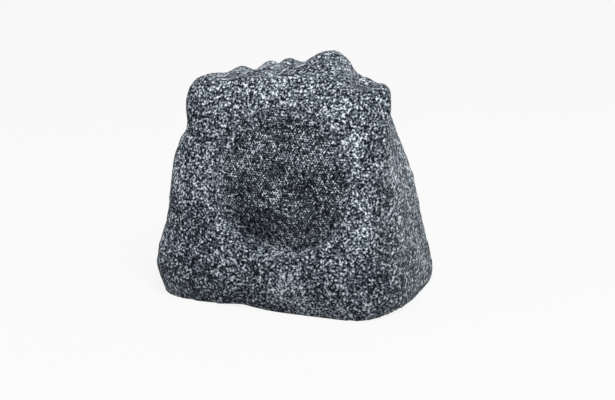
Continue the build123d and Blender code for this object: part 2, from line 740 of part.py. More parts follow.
with BuildPart() as tweeter_housing:
    floor = TWEETER_BACK + TWEETER_SHELL
    inner = TWEETER_RADIUS - TWEETER_SHELL
    revolve(
        turned(
            (POST_BORE, TWEETER_BACK),
            (TWEETER_RADIUS - TWEETER_SHELL * 2, TWEETER_BACK),
            (TWEETER_RADIUS, TWEETER_BACK + TWEETER_SHELL * 2),
            (TWEETER_RADIUS, TWEETER_FRONT),
            (inner, TWEETER_FRONT),
            (inner, floor + TWEETER_SHELL * 2),
            (inner - TWEETER_SHELL * 2, floor),
            (POST_BORE, floor),
        ),
        axis=DRIVER_AXIS,
    )

with BuildPart() as tweeter_magnet:
    revolve(ring_section(POST_BORE, TWEETER_MAGNET_RADIUS, floor, floor + TWEETER_MAGNET_THICKNESS), axis=DRIVER_AXIS)

with BuildPart() as tweeter_face_ring:
    revolve(
        turned(
            (DOME_RADIUS, TWEETER_FRONT),
            (TWEETER_RADIUS, TWEETER_FRONT),
            (TWEETER_RADIUS, TWEETER_FRONT + TWEETER_RING / 2),
            (TWEETER_RADIUS - TWEETER_RING / 2, TWEETER_FRONT + TWEETER_RING),
            (DOME_RADIUS + DOME_EDGE + TWEETER_RING, TWEETER_FRONT + TWEETER_RING),
            (DOME_RADIUS + DOME_EDGE, TWEETER_FRONT + DOME_FILM * 2),
            (DOME_RADIUS, TWEETER_FRONT + DOME_FILM * 2),
        ),
        axis=DRIVER_AXIS,
    )

with BuildPart() as tweeter_dome:
    seat = TWEETER_FRONT + DOME_FILM * 2
    dome_ball = (DOME_RADIUS**2 + DOME_RISE**2) / (2 * DOME_RISE)
    with BuildSketch(SECTION):
        with BuildLine():
            RadiusArc((DOME_RADIUS, seat + DOME_FILM), (0, seat + DOME_FILM + DOME_RISE), -dome_ball)
            Line((0, seat + DOME_FILM + DOME_RISE), (0, seat + DOME_RISE))
            RadiusArc((0, seat + DOME_RISE), (DOME_RADIUS, seat), dome_ball)
            Polyline(
                (DOME_RADIUS, seat),
                (DOME_RADIUS + DOME_EDGE - GLUE * 2, seat),
                (DOME_RADIUS + DOME_EDGE - GLUE * 2, seat + DOME_FILM),
                (DOME_RADIUS, seat + DOME_FILM),
            )
        make_face()
    revolve(axis=DRIVER_AXIS)

# Base plate: closes the rock from below, with standoffs and stiffening ribs inside
BOARD_PLANE = Plane(origin=(BOARD_X, BOARD_Y, BOARD_BOTTOM))
SCREW_X = BOARD_LENGTH - STANDOFF_MARGIN * 2
SCREW_Y = BOARD_WIDTH - STANDOFF_MARGIN * 2
with BuildPart() as base_plate:
    add(base_outline(WALL + BASE_GAP, BASE_LIFT))
    extrude(amount=BASE_THICKNESS)
    chamfer(base_plate.faces().sort_by(Axis.Z)[0].edges(), BASE_THICKNESS / 3)
    rib_reach = min(ROCK_LEFT, ROCK_RIGHT) - WALL - LEDGE_WIDTH * 2
    rib_depth = min(ROCK_FRONT, ROCK_BACK) - WALL - LEDGE_WIDTH * 2
    with BuildSketch(Plane.XY.offset(BASE_TOP)):
        with Locations((0, -rib_depth / 2)):
            Rectangle(rib_reach * 2, RIB_THICKNESS)
        for side in (-1, 1):
            with Locations((side * rib_reach * 0.75, 0)):
                Rectangle(RIB_THICKNESS, rib_depth * 2)
    extrude(amount=RIB_HEIGHT)
    with BuildSketch(BOARD_PLANE.offset(-STANDOFF_HEIGHT)):
        with GridLocations(SCREW_X, SCREW_Y, 2, 2):
            Circle(STANDOFF_RADIUS)
    extrude(amount=STANDOFF_HEIGHT)
    with BuildSketch(BOARD_PLANE):
        with GridLocations(SCREW_X, SCREW_Y, 2, 2):
            Circle(BOARD_SCREW_RADIUS + SCREW_PLAY)
    extrude(amount=-STANDOFF_HEIGHT, mode=Mode.SUBTRACT)
    with BuildSketch(Plane.XY.offset(BASE_LIFT)):
        with Locations(*BASE_PLACES):
            Circle(BASE_SCREW_RADIUS + SCREW_HOLE_PLAY)
    extrude(amount=BASE_THICKNESS, mode=Mode.SUBTRACT)

# Base seal: a flat rubber ring between the plate and the ledge
with BuildPart() as base_seal:
    with BuildSketch(Plane.XY.offset(BASE_TOP)):
        add(base_outline(WALL + BASE_GAP + SEAL_MARGIN, BASE_TOP))
        add(base_outline(WALL + BASE_GAP + SEAL_MARGIN + SEAL_WIDTH, BASE_TOP), mode=Mode.SUBTRACT)
        with Locations(*BASE_PLACES):
            Circle(BASE_SCREW_RADIUS + SCREW_HOLE_PLAY, mode=Mode.SUBTRACT)
    extrude(amount=SEAL_THICKNESS)

# Base screws, heads down, up through the plate and the seal into the bosses
base_screw = pan_screw(BASE_SCREW_HEAD, BASE_SCREW_HEAD_HEIGHT, BASE_SCREW_RADIUS, BASE_SCREW_LENGTH)
with BuildPart(Plane(origin=(0, 0, BASE_LIFT), x_dir=(1, 0, 0), z_dir=(0, 0, -1))) as base_screws:
    with Locations(*[(x, -y) for x, y in BASE_PLACES]):
        add(base_screw)

# Crossover board
with BuildPart() as crossover_board:
    with BuildSketch(BOARD_PLANE):
        RectangleRounded(BOARD_LENGTH, BOARD_WIDTH, STANDOFF_MARGIN / 2)
        with GridLocations(SCREW_X, SCREW_Y, 2, 2):
            Circle(BOARD_SCREW_RADIUS + SCREW_HOLE_PLAY, mode=Mode.SUBTRACT)
    extrude(amount=BOARD_THICKNESS)

board_screw = pan_screw(BOARD_SCREW_HEAD, BOARD_SCREW_HEAD_HEIGHT, BOARD_SCREW_RADIUS, BOARD_SCREW_LENGTH)
with BuildPart(BOARD_PLANE.offset(BOARD_THICKNESS)) as board_screws:
    with GridLocations(SCREW_X, SCREW_Y, 2, 2):
        add(board_screw)

# Inductor: a spool and its winding, on the board's left half
BOARD_FACE = BOARD_PLANE.offset(BOARD_THICKNESS)
BOBBIN_X = -BOARD_LENGTH / 4
BOBBIN_PLANE = Plane(origin=BOARD_FACE.from_local_coords(Vector(BOBBIN_X, 0, 0)))
with BuildPart(BOBBIN_PLANE) as inductor_bobbin:
    with Locations((0, 0, BOBBIN_HEIGHT / 2)):
        Cylinder(BOBBIN_CORE, BOBBIN_HEIGHT)
    with Locations((0, 0, BOBBIN_FLANGE / 2), (0, 0, BOBBIN_HEIGHT - BOBBIN_FLANGE / 2)):
        Cylinder(BOBBIN_RADIUS, BOBBIN_FLANGE)
    with Locations((0, 0, BOBBIN_HEIGHT / 2)):
        Cylinder(BOBBIN_BORE, BOBBIN_HEIGHT, mode=Mode.SUBTRACT)

with BuildPart(BOBBIN_PLANE) as inductor_winding:
    with Locations((0, 0, BOBBIN_HEIGHT / 2)):
        Cylinder(BOBBIN_RADIUS - WINDING_MARGIN, BOBBIN_HEIGHT - BOBBIN_FLANGE * 2)
        Cylinder(BOBBIN_CORE + GLUE, BOBBIN_HEIGHT, mode=Mode.SUBTRACT)

# Capacitors, resistor and terminal block on the board's right half
CAPACITOR_X = BOARD_LENGTH / 8
CAPACITOR_Y = BOARD_WIDTH / 8
with BuildPart(BOARD_FACE) as crossover_capacitors:
    with Locations((CAPACITOR_X + CAPACITOR_SPACING / 2, CAPACITOR_Y, CAPACITOR_HEIGHT / 2)):
        with GridLocations(CAPACITOR_SPACING, 0, 2, 1):
            Cylinder(CAPACITOR_RADIUS, CAPACITOR_HEIGHT)
    fillet(crossover_capacitors.edges().group_by(Axis.Z)[-1], CAPACITOR_RADIUS / 6)

with BuildPart(BOARD_FACE) as crossover_resistor:
    with Locations((CAPACITOR_X + CAPACITOR_SPACING / 2, BOARD_WIDTH / 2 - RESISTOR_SIDE, RESISTOR_SIDE / 2)):
        Box(RESISTOR_LENGTH, RESISTOR_SIDE, RESISTOR_SIDE)
    chamfer(crossover_resistor.edges().filter_by(Axis.Z), RESISTOR_SIDE / 9)

BLOCK_X = CAPACITOR_X + CAPACITOR_SPACING / 2
BLOCK_Y = BLOCK_WIDTH / 2 - BOARD_WIDTH / 2 + STANDOFF_MARGIN / 5
BLOCK_PITCH = BLOCK_LENGTH / BLOCK_WAYS
with BuildPart(BOARD_FACE) as terminal_block:
    with Locations((BLOCK_X - STANDOFF_MARGIN, BLOCK_Y, BLOCK_HEIGHT / 2)):
        Box(BLOCK_LENGTH, BLOCK_WIDTH, BLOCK_HEIGHT)
    top_edge = terminal_block.edges().group_by(Axis.Z)[-1].sort_by(Axis.Y)[0]
    chamfer(top_edge, BLOCK_WIDTH / 4)
    with Locations((BLOCK_X - STANDOFF_MARGIN, BLOCK_Y + BLOCK_WIDTH / 4, BLOCK_HEIGHT)):
        with GridLocations(BLOCK_PITCH, 0, BLOCK_WAYS, 1):
            Cylinder(BLOCK_ENTRY, BLOCK_HEIGHT, mode=Mode.SUBTRACT)

# Leads inside the rock, from the block's ways to the woofer's tags and through the post to the tweeter
BLOCK_TOP = BOARD_TOP + BLOCK_HEIGHT
way_x = [BOARD_X + BLOCK_X - STANDOFF_MARGIN + (index - 1.5) * BLOCK_PITCH for index in range(BLOCK_WAYS)]
way_y = BOARD_Y + BLOCK_Y + BLOCK_WIDTH / 4
way_z = BLOCK_TOP - BLOCK_HEIGHT / 2


def lead(x: float, *points: Vector) -> Part:
    """A round wire that rises from one of the block's ways and follows the points."""
    start = Vector(x, way_y, way_z)
    rise = Vector(x, way_y, BLOCK_TOP + LEAD_RISE)
    with BuildPart() as wire:
        with BuildLine() as route:
            FilletPolyline(start, rise, *points, radius=LEAD_BEND)
        with BuildSketch(Plane(origin=start)):
            Circle(LEAD_RADIUS)
        sweep(path=route.wire())
    return wire.part


with BuildPart() as woofer_leads:
    for x, side in ((way_x[1], -1), (way_x[2], 1)):
        tip = STRIP_PLANE.from_local_coords(Vector(side * TAG_SPACING / 2, 0, strip_face + TAG_LENGTH))
        add(lead(x, tip + STRIP_PLANE.z_dir * LEAD_TAIL, tip))

with BuildPart() as tweeter_leads:
    for x, side in ((way_x[0], -1), (way_x[3], 1)):
        beside = side * (LEAD_RADIUS + GLUE)
        behind = DRIVER_PLANE.from_local_coords(Vector(beside, 0, POLE_PLATE_BACK - POST_TAIL - LEAD_TAIL))
        end = DRIVER_PLANE.from_local_coords(Vector(beside, 0, floor + TWEETER_MAGNET_THICKNESS))
        add(lead(x, behind, end))

# Cable gland: body through the rock's back, washer, rubber insert, cap and locknut
HEX_BACK = GLAND_SEAL_THICKNESS
HEX_FRONT = HEX_BACK + GLAND_HEX_HEIGHT
NECK_FRONT = HEX_FRONT + GLAND_NECK
CAP_BACK = HEX_FRONT + GLAND_CAP_GAP
CAP_FRONT = CAP_BACK + GLAND_CAP_LENGTH
THREAD_BACK = -GLAND_BOSS - LOCKNUT_THICKNESS - 1
with BuildPart(GLAND_PLANE) as gland_body:
    with BuildSketch(GLAND_PLANE.offset(HEX_BACK)):
        RegularPolygon(GLAND_HEX / 2, 6, major_radius=False)
    extrude(amount=GLAND_HEX_HEIGHT)
    with BuildSketch(GLAND_PLANE.offset(THREAD_BACK)):
        Circle(GLAND_THREAD)
    extrude(amount=NECK_FRONT - THREAD_BACK)
    with BuildSketch(GLAND_PLANE.offset(THREAD_BACK)):
        Circle(GLAND_BORE)
    extrude(amount=NECK_FRONT - THREAD_BACK, mode=Mode.SUBTRACT)

with BuildPart() as gland_seal:
    with BuildSketch(GLAND_PLANE):
        Circle(GLAND_SEAL_RADIUS)
        Circle(GLAND_THREAD + GLAND_THREAD_PLAY, mode=Mode.SUBTRACT)
    extrude(amount=GLAND_SEAL_THICKNESS)

with BuildPart() as gland_cap:
    with BuildSketch(GLAND_PLANE.offset(CAP_BACK)):
        Circle(GLAND_CAP_RADIUS)
    extrude(amount=GLAND_CAP_LENGTH)
    fillet(gland_cap.edges().sort_by(Axis.Y)[-1], GLAND_CAP_FACE)
    with BuildSketch(GLAND_PLANE.offset(CAP_BACK)):
        Circle(GLAND_THREAD + GLAND_THREAD_PLAY)
    extrude(amount=GLAND_CAP_LENGTH - GLAND_CAP_FACE, mode=Mode.SUBTRACT)
    with BuildSketch(GLAND_PLANE.offset(CAP_BACK)):
        Circle(CABLE_BORE)
    extrude(amount=GLAND_CAP_LENGTH, mode=Mode.SUBTRACT)

with BuildPart() as gland_insert:
    with BuildSketch(GLAND_PLANE.offset(NECK_FRONT)):
        Circle(GLAND_THREAD)
        Circle(INSERT_BORE, mode=Mode.SUBTRACT)
    extrude(amount=CAP_FRONT - GLAND_CAP_FACE - NECK_FRONT)

with BuildPart() as gland_locknut:
    with BuildSketch(GLAND_PLANE.offset(-GLAND_BOSS)):
        RegularPolygon(LOCKNUT_FLATS / 2, 6, major_radius=False)
        Circle(GLAND_THREAD + SCREW_PLAY, mode=Mode.SUBTRACT)
    extrude(amount=-LOCKNUT_THICKNESS)

pieces = {
    "rock_shell": rock_shell,
    "grille": grille,
    "weather_screen": weather_screen,
    "driver_gasket": driver_gasket,
    "woofer_basket": woofer_basket,
    "driver_screws": driver_screws,
    "top_plate": top_plate,
    "magnet_ring": magnet_ring,
    "pole_plate": pole_plate,
    "voice_coil_former": voice_coil_former,
    "voice_coil_winding": voice_coil_winding,
    "woofer_cone": woofer_cone,
    "woofer_surround": woofer_surround,
    "spider": spider,
    "terminal_strip": terminal_strip,
    "terminal_tags": terminal_tags,
    "tweeter_post": tweeter_post,
    "tweeter_housing": tweeter_housing,
    "tweeter_magnet": tweeter_magnet,
    "tweeter_face_ring": tweeter_face_ring,
    "tweeter_dome": tweeter_dome,
    "base_plate": base_plate,
    "base_seal": base_seal,
    "base_screws": base_screws,
    "crossover_board": crossover_board,
    "board_screws": board_screws,
    "inductor_bobbin": inductor_bobbin,
    "inductor_winding": inductor_winding,
    "crossover_capacitors": crossover_capacitors,
    "crossover_resistor": crossover_resistor,
    "terminal_block": terminal_block,
    "woofer_leads": woofer_leads,
    "tweeter_leads": tweeter_leads,
    "gland_body": gland_body,
    "gland_seal": gland_seal,
    "gland_cap": gland_cap,
    "gland_insert": gland_insert,
    "gland_locknut": gland_locknut,
}
for name, piece in pieces.items():
    piece.part.label = name
    export_step(piece.part, f"parts/{name}.step")
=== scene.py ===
"""Dresses a rock shaped garden speaker: its stone skin, perforated grille, fasteners and finishes.

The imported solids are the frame. The rock's skin, the grille, the base screws and the two rings that the cone
hangs in are rebuilt here with finer forms in the same places, and the gland's cap gets its ribs. Every other
solid stays, and each gets a finish made of shader nodes. Lengths are in metres.
"""

from __future__ import annotations

import json
import logging
import math
from collections.abc import Iterable, Sequence
from dataclasses import dataclass, field
from enum import Enum

import bmesh
import bpy
import numpy as np
from bmesh.types import BMesh, BMVert
from bpy.types import Material, Mesh, Node, NodeSocket, Object
from mathutils import Matrix, Vector, noise
from mathutils.bvhtree import BVHTree

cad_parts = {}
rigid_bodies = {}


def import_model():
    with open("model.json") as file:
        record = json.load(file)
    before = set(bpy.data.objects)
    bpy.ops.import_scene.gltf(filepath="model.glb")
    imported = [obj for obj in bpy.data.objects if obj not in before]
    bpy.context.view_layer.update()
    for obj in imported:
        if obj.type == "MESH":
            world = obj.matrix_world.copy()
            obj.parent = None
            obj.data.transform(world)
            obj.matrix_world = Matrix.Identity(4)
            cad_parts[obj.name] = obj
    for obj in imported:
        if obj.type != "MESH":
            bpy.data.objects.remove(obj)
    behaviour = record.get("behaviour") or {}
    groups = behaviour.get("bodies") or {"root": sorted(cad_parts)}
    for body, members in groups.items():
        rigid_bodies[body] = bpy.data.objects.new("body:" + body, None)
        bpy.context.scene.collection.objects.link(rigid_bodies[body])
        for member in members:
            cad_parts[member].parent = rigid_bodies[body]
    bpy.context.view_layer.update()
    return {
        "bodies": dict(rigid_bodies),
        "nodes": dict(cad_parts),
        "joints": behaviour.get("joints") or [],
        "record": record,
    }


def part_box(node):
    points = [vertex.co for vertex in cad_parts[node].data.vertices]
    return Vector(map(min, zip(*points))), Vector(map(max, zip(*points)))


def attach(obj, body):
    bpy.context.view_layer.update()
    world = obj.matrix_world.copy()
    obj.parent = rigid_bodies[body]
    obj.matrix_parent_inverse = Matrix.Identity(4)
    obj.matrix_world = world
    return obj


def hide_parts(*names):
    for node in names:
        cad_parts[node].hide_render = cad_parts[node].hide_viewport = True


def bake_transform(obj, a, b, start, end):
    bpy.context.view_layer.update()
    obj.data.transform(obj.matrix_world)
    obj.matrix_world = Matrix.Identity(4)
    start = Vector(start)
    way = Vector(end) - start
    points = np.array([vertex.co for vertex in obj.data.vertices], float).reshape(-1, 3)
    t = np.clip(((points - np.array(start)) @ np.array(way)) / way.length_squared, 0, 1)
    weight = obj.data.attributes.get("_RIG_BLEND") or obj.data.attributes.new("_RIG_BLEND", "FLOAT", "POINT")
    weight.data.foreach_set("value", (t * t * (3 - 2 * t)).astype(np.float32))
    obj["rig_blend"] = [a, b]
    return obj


LOG = logging.getLogger("garden_speaker")
MM = 0.001
SAME_CORNER = 0.005 * MM
HEX_FLAT = math.cos(math.pi / 6)
Triple = tuple[float, float, float]
Pair = tuple[float, float]
Colour = Triple
Span = Pair
Box = tuple[Vector, Vector]
WHITE: Colour = (1.0, 1.0, 1.0)


class Body(Enum):
    """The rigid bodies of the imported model."""

    CABINET = "cabinet"
    CONE = "moving_cone"


class Weave(Enum):
    """How tightly a cloth is woven, as threads to the metre."""

    FINE = 1400.0
    OPEN = 900.0


def written(red: int, green: int, blue: int) -> Colour:
    """Turns a colour written as display values into the linear values that shaders use.

    Args:
        red: Red from 0 to 255.
        green: Green from 0 to 255.
        blue: Blue from 0 to 255.

    Returns:
        The linear colour.
    """
    shares = [channel / 255 for channel in (red, green, blue)]
    linear = [s / 12.92 if s <= 0.04045 else ((s + 0.055) / 1.055) ** 2.4 for s in shares]
    return linear[0], linear[1], linear[2]


def dimmed(colour: Colour, share: float) -> Colour:
    """A colour with each channel multiplied by a share."""
    return colour[0] * share, colour[1] * share, colour[2] * share


class Value:
    """A number socket of a node tree that takes part in Python expressions."""

    def __init__(self, tree: NodeTree, socket: NodeSocket) -> None:
        """Keeps the tree and the socket."""
        self.tree = tree
        self.socket = socket

    def math(self, operation: str, *others: Value | float) -> Value:
        """Adds a Math node with this value as its first input."""
        return self.tree.maths(operation, self, *others)

    def __add__(self, other: Value | float) -> Value:
        """Adds."""
        return self.math("ADD", other)

    def __radd__(self, other: float) -> Value:
        """Adds to a number."""
        return self.math("ADD", other)

    def __sub__(self, other: Value | float) -> Value:
        """Subtracts."""
        return self.math("SUBTRACT", other)

    def __rsub__(self, other: float) -> Value:
        """Subtracts from a number."""
        return self.tree.maths("SUBTRACT", other, self)

    def __mul__(self, other: Value | float) -> Value:
        """Multiplies."""
        return self.math("MULTIPLY", other)

    def __rmul__(self, other: float) -> Value:
        """Multiplies a number."""
        return self.math("MULTIPLY", other)

    def __truediv__(self, other: Value | float) -> Value:
        """Divides."""
        return self.math("DIVIDE", other)

    def __mod__(self, other: Value | float) -> Value:
        """Takes the remainder."""
        return self.math("FLOORED_MODULO", other)

    def step(self, span: Span) -> Value:
        """A smooth step from 0 to 1.

        Args:
            span: Where the step starts and where it ends, which may lie below the start.

        Returns:
            The stepped value.
        """
        inputs = {"Value": self, "From Min": min(span), "From Max": max(span)}
        made = self.tree.node("ShaderNodeMapRange", {"interpolation_type": "SMOOTHSTEP"}, inputs)
        rising = self.tree.value(made)
        return rising if span[0] < span[1] else 1 - rising


Input = Value | NodeSocket | float | int | bool | Sequence[float] | bpy.types.ID
Inputs = dict[str | int, Input]
Stops = Sequence[tuple[float, Colour]]


class NodeTree:
    """A node tree under construction."""

    def __init__(self, tree: bpy.types.NodeTree) -> None:
        """Starts from an empty tree."""
        self.tree = tree
        self.tree.nodes.clear()

    def node(self, kind: str, settings: dict | None = None, inputs: Inputs | None = None) -> Node:
        """Adds one node.

        Args:
            kind: The node's type.
            settings: Its properties, and the stops of its ramp under the name stops.
            inputs: Values or links of its sockets, by name or number.

        Returns:
            The node.
        """
        made = self.tree.nodes.new(kind)
        for name, setting in (settings or {}).items():
            if name == "stops":
                self.fill_ramp(made.color_ramp, setting)
            else:
                setattr(made, name, setting)
        for name, value in (inputs or {}).items():
            self.feed(made.inputs[name], value)
        return made

    def feed(self, socket: NodeSocket, value: Input) -> None:
        """Links a socket or sets its value.

        Args:
            socket: The socket.
            value: What it takes. A colour has no alpha.
        """
        source = value.socket if isinstance(value, Value) else value
        if isinstance(source, NodeSocket):
            self.tree.links.new(source, socket)
        else:
            socket.default_value = (*source, 1.0) if socket.type == "RGBA" else source

    @staticmethod
    def fill_ramp(ramp: bpy.types.ColorRamp, stops: Stops) -> None:
        """Sets a colour ramp's stops.

        Args:
            ramp: The ramp.
            stops: Place and colour of each stop, in order.
        """
        while len(ramp.elements) > 1:
            ramp.elements.remove(ramp.elements[-1])
        for index, (place, colour) in enumerate(stops):
            stop = ramp.elements[0] if index == 0 else ramp.elements.new(place)
            stop.position = place
            stop.color = (*colour, 1.0)

    def value(self, node: Node, output: str | int = 0) -> Value:
        """Wraps a node's output as a number."""
        return Value(self, node.outputs[output])

    def maths(self, operation: str, *inputs: Value | float) -> Value:
        """Adds a Math node."""
        return self.value(self.node("ShaderNodeMath", {"operation": operation}, dict(enumerate(inputs))))

    def axis_of(self, vector: NodeSocket, name: str) -> Value:
        """One axis of a vector."""
        return self.value(self.node("ShaderNodeSeparateXYZ", inputs={0: vector}), name)

    def seen(self) -> Value:
        """Tells the rays that show the stage, straight on or by way of metal and glass.

        Returns:
            1 for those rays and 0 for the rest.
        """
        rays = self.node("ShaderNodeLightPath")
        kinds = ("Is Camera Ray", "Is Glossy Ray", "Is Transmission Ray")
        camera, glossy, through = (self.value(rays, kind) for kind in kinds)
        return (camera + glossy + through).math("MINIMUM", 1.0)


class Surface(NodeTree):
    """A material under construction: its Principled shader and the patterns that feed it."""

    def __init__(self, name: str) -> None:
        """Makes the material with its shader and output.

        Args:
            name: The material's name.
        """
        self.material = bpy.data.materials.new(name)
        self.material.use_nodes = True
        super().__init__(self.material.node_tree)
        self.shader = self.node("ShaderNodeBsdfPrincipled")
        self.output = self.node("ShaderNodeOutputMaterial", inputs={"Surface": self.shader.outputs[0]})
        self.place = self.node("ShaderNodeTexCoord").outputs["Object"]

    def set(self, **sockets: Input) -> None:
        """Sets or links the shader's sockets, named with underscores for spaces."""
        for name, value in sockets.items():
            self.feed(self.shader.inputs[name.replace("_", " ")], value)

    def noise(self, size: float, detail: float = 2.0, rough: float = 0.5, at: Input | None = None) -> Value:
        """A cloudy pattern around one half, with features of a size and some layers of finer noise."""
        inputs = {"Vector": at or self.place, "Scale": 1 / size, "Detail": detail, "Roughness": rough}
        return self.value(self.node("ShaderNodeTexNoise", inputs=inputs))

    def axis(self, name: str) -> Value:
        """One of the object coordinates, in metres."""
        return self.axis_of(self.place, name)

    def facing(self, name: str) -> Value:
        """How far the skin faces along an axis, from -1 to 1."""
        return self.axis_of(self.node("ShaderNodeNewGeometry").outputs["Normal"], name)

    def drawn_out(self, scale: Triple) -> NodeSocket:
        """Object coordinates multiplied axis by axis, so that a pattern runs out along the small ones."""
        made = self.node("ShaderNodeVectorMath", {"operation": "MULTIPLY"}, {0: self.place, 1: scale})
        return made.outputs[0]

    def ridges(self, axis: str, to_metre: float) -> Value:
        """Rounded ridges across an axis, from 0 between them to 1 on top."""
        return (self.axis(axis) * (math.pi * to_metre)).math("SINE").math("ABSOLUTE")

    def ramp(self, factor: Value, stops: Stops) -> NodeSocket:
        """Turns a number into a colour, by stops that each have a place and a colour."""
        return self.node("ShaderNodeValToRGB", {"stops": stops}, {0: factor}).outputs[0]

    def mix(self, factor: Value, first: Input, second: Input) -> NodeSocket:
        """Mixes two colours, the second by the factor's share."""
        made = self.node("ShaderNodeMix", {"data_type": "RGBA"}, {0: factor, 6: first, 7: second})
        return made.outputs[2]

    def shaded(self, pattern: Value, colour: Colour, dim: float, span: Span = (0.3, 0.7)) -> NodeSocket:
        """A colour that a pattern dims, down to a share where the span starts."""
        return self.ramp(pattern, [(span[0], dimmed(colour, dim)), (span[1], colour)])

    def bump(self, height: Value, depth: float, strength: float = 1.0) -> None:
        """Feeds a height to the shader's normal, where a height of 1 is as deep as depth says."""
        inputs = {"Strength": strength, "Distance": depth, "Height": height}
        self.set(Normal=self.node("ShaderNodeBump", inputs=inputs).outputs[0])


STONE_TONES = (
    (0.37, written(4, 5, 8)),
    (0.44, written(26, 30, 38)),
    (0.51, written(76, 84, 94)),
    (0.58, written(140, 150, 161)),
    (0.65, written(238, 245, 252)),
)


@dataclass(frozen=True)
class Granite:
    """Speckled stone paint: dark ground, grey grains and pale flecks.

    Painted light makes its right side paler and greener, and its upper right paler. Painted shade darkens its
    foot, a streak at its front right corner and, more, its lowest edge. Each span says where such a change
    starts
    and where it is complete: in metres, or for flat_span in how squarely the skin faces up or to the right.
    The side is the picture's right, seen from above.
    """

    name: str
    # Dims the whole stone: a share below 1 is painted shade.
    shade: float = 1.0
    fleck: float = 2.5 * MM
    fine_share: float = 0.84
    coarser: float = 2.2
    coarse_share: float = 0.24
    patch: float = 44 * MM
    patch_share: float = 0.18
    grit: float = 0.9 * MM
    grit_share: float = 0.14
    level: float = -0.13
    run: float = 0.6
    flat_span: Span = (0.76, 0.94)
    side: Pair = (0.94, 0.34)
    # Painted light: how much paler and greener the right side is painted, and where.
    painted_side_light: float = 0.08
    painted_side_light_lift: float = 0.020
    painted_side_light_span: Span = (0.080, 0.135)
    painted_side_light_patch: float = 38 * MM
    painted_side_light_ragged: float = 0.08
    painted_side_light_colour: Colour = written(150, 162, 156)
    # Painted shade: how much darker the foot is painted, below which height, and in which colour.
    painted_shade: float = 0.34
    painted_shade_span: Span = (0.090, 0.0)
    painted_shade_colour: Colour = written(6, 7, 8)
    # Painted shade: where the darker streak down the front right corner lies.
    corner_shade_left: Span = (0.074, 0.086)
    corner_shade_right: Span = (0.106, 0.094)
    corner_shade_top: Span = (0.20, 0.15)
    corner_shade_back: Span = (0.0, -0.03)
    # Painted shade: the lowest edge, painted darker still.
    edge_shade: float = 0.14
    edge_shade_span: Span = (0.014, 0.004)
    # Painted light: how much paler the upper right is painted, and where.
    painted_top_light: float = 0.016
    painted_top_light_across: float = 0.5
    painted_top_light_span: Span = (0.170, 0.250)
    roughness: float = 0.7
    uneven: float = 0.2
    gloss: float = 0.1
    pit: float = 1.1 * MM
    pit_share: float = 0.4
    pit_depth: float = 0.5 * MM
    pit_strength: float = 0.6

    def tone(self, surface: Surface) -> Value:
        """Adds up patches, grit and two layers of flecks, drawn out front to back where the skin lies flat.

        Args:
            surface: The material under construction.

        Returns:
            How pale the stone is, around one half.
        """
        flat = surface.facing("Z").math("MAXIMUM", surface.facing("X")).step(self.flat_span)
        run = surface.drawn_out((1.0, self.run, 1.0))
        tone = surface.noise(self.patch) * self.patch_share
        tone = tone + (surface.noise(self.grit) - 0.5) * self.grit_share
        for size, detail, rough, share in (
            (self.fleck, 2.0, 0.55, self.fine_share),
            (self.fleck * self.coarser, 1.0, 0.5, self.coarse_share),
        ):
            plain = surface.noise(size, detail, rough)
            drawn = surface.noise(size, detail, rough, run)
            tone = tone + (plain + (drawn - plain) * flat) * share
        # Painted light: the upper right is painted paler.
        top_lit = (surface.axis("X") * self.painted_top_light_across + surface.axis("Z")).step(self.painted_top_light_span)
        return tone + top_lit * self.painted_top_light + self.level

    def make(self) -> Material:
        """Makes the material.

        Returns:
            The material.
        """
        surface = Surface(self.name)
        depth, height = surface.axis("Y"), surface.axis("Z")
        side = surface.axis("X") * self.side[0] + depth * self.side[1]
        # Painted light: the right side is painted paler, with a ragged edge from noise.
        ragged = side + (surface.noise(self.painted_side_light_patch, 3.0) - 0.5) * self.painted_side_light_ragged
        side_lit = ragged.step(self.painted_side_light_span)
        tone = self.tone(surface) + side_lit * self.painted_side_light_lift
        stone = surface.ramp(tone, [(place, dimmed(colour, self.shade)) for place, colour in STONE_TONES])
        # Painted shade: the darker streak down the front right corner.
        corner_shade = side.step(self.corner_shade_left) * side.step(self.corner_shade_right)
        corner_shade = corner_shade * height.step(self.corner_shade_top) * depth.step(self.corner_shade_back)
        # Painted shade: darker towards the foot and down the front right corner.
        painted_shade = height.step(self.painted_shade_span).math("MAXIMUM", corner_shade) * self.painted_shade
        # Painted shade, darker still along the lowest edge.
        painted_shade = painted_shade + height.step(self.edge_shade_span) * self.edge_shade
        # Painted light: mixes a paler, greener colour over the right side.
        side_lit_stone = surface.mix(side_lit * self.painted_side_light, stone, self.painted_side_light_colour)
        surface.set(
            Base_Color=surface.mix(painted_shade, side_lit_stone, self.painted_shade_colour),
            Roughness=self.roughness + tone * self.uneven,
            Specular_IOR_Level=self.gloss,
        )
        height = tone + surface.noise(self.pit, 1.0) * self.pit_share
        surface.bump(height, self.pit_depth, self.pit_strength)
        return surface.material


@dataclass(frozen=True)
class Moulded:
    """Moulded plastic or rubber: one colour, fine grain and slight unevenness."""

    name: str
    colour: Colour
    roughness: float = 0.5
    grain: float = 0.6 * MM
    depth: float = 0.05 * MM
    cloud: float = 14 * MM
    dim: float = 0.78
    uneven: float = 0.2

    def make(self) -> Material:
        """Makes the material.

        Returns:
            The material.
        """
        surface = Surface(self.name)
        cloud = surface.noise(self.cloud, 3.0)
        surface.set(
            Base_Color=surface.shaded(cloud, self.colour, self.dim),
            Roughness=self.roughness + (cloud - 0.5) * self.uneven,
        )
        surface.bump(surface.noise(self.grain), self.depth)
        return surface.material


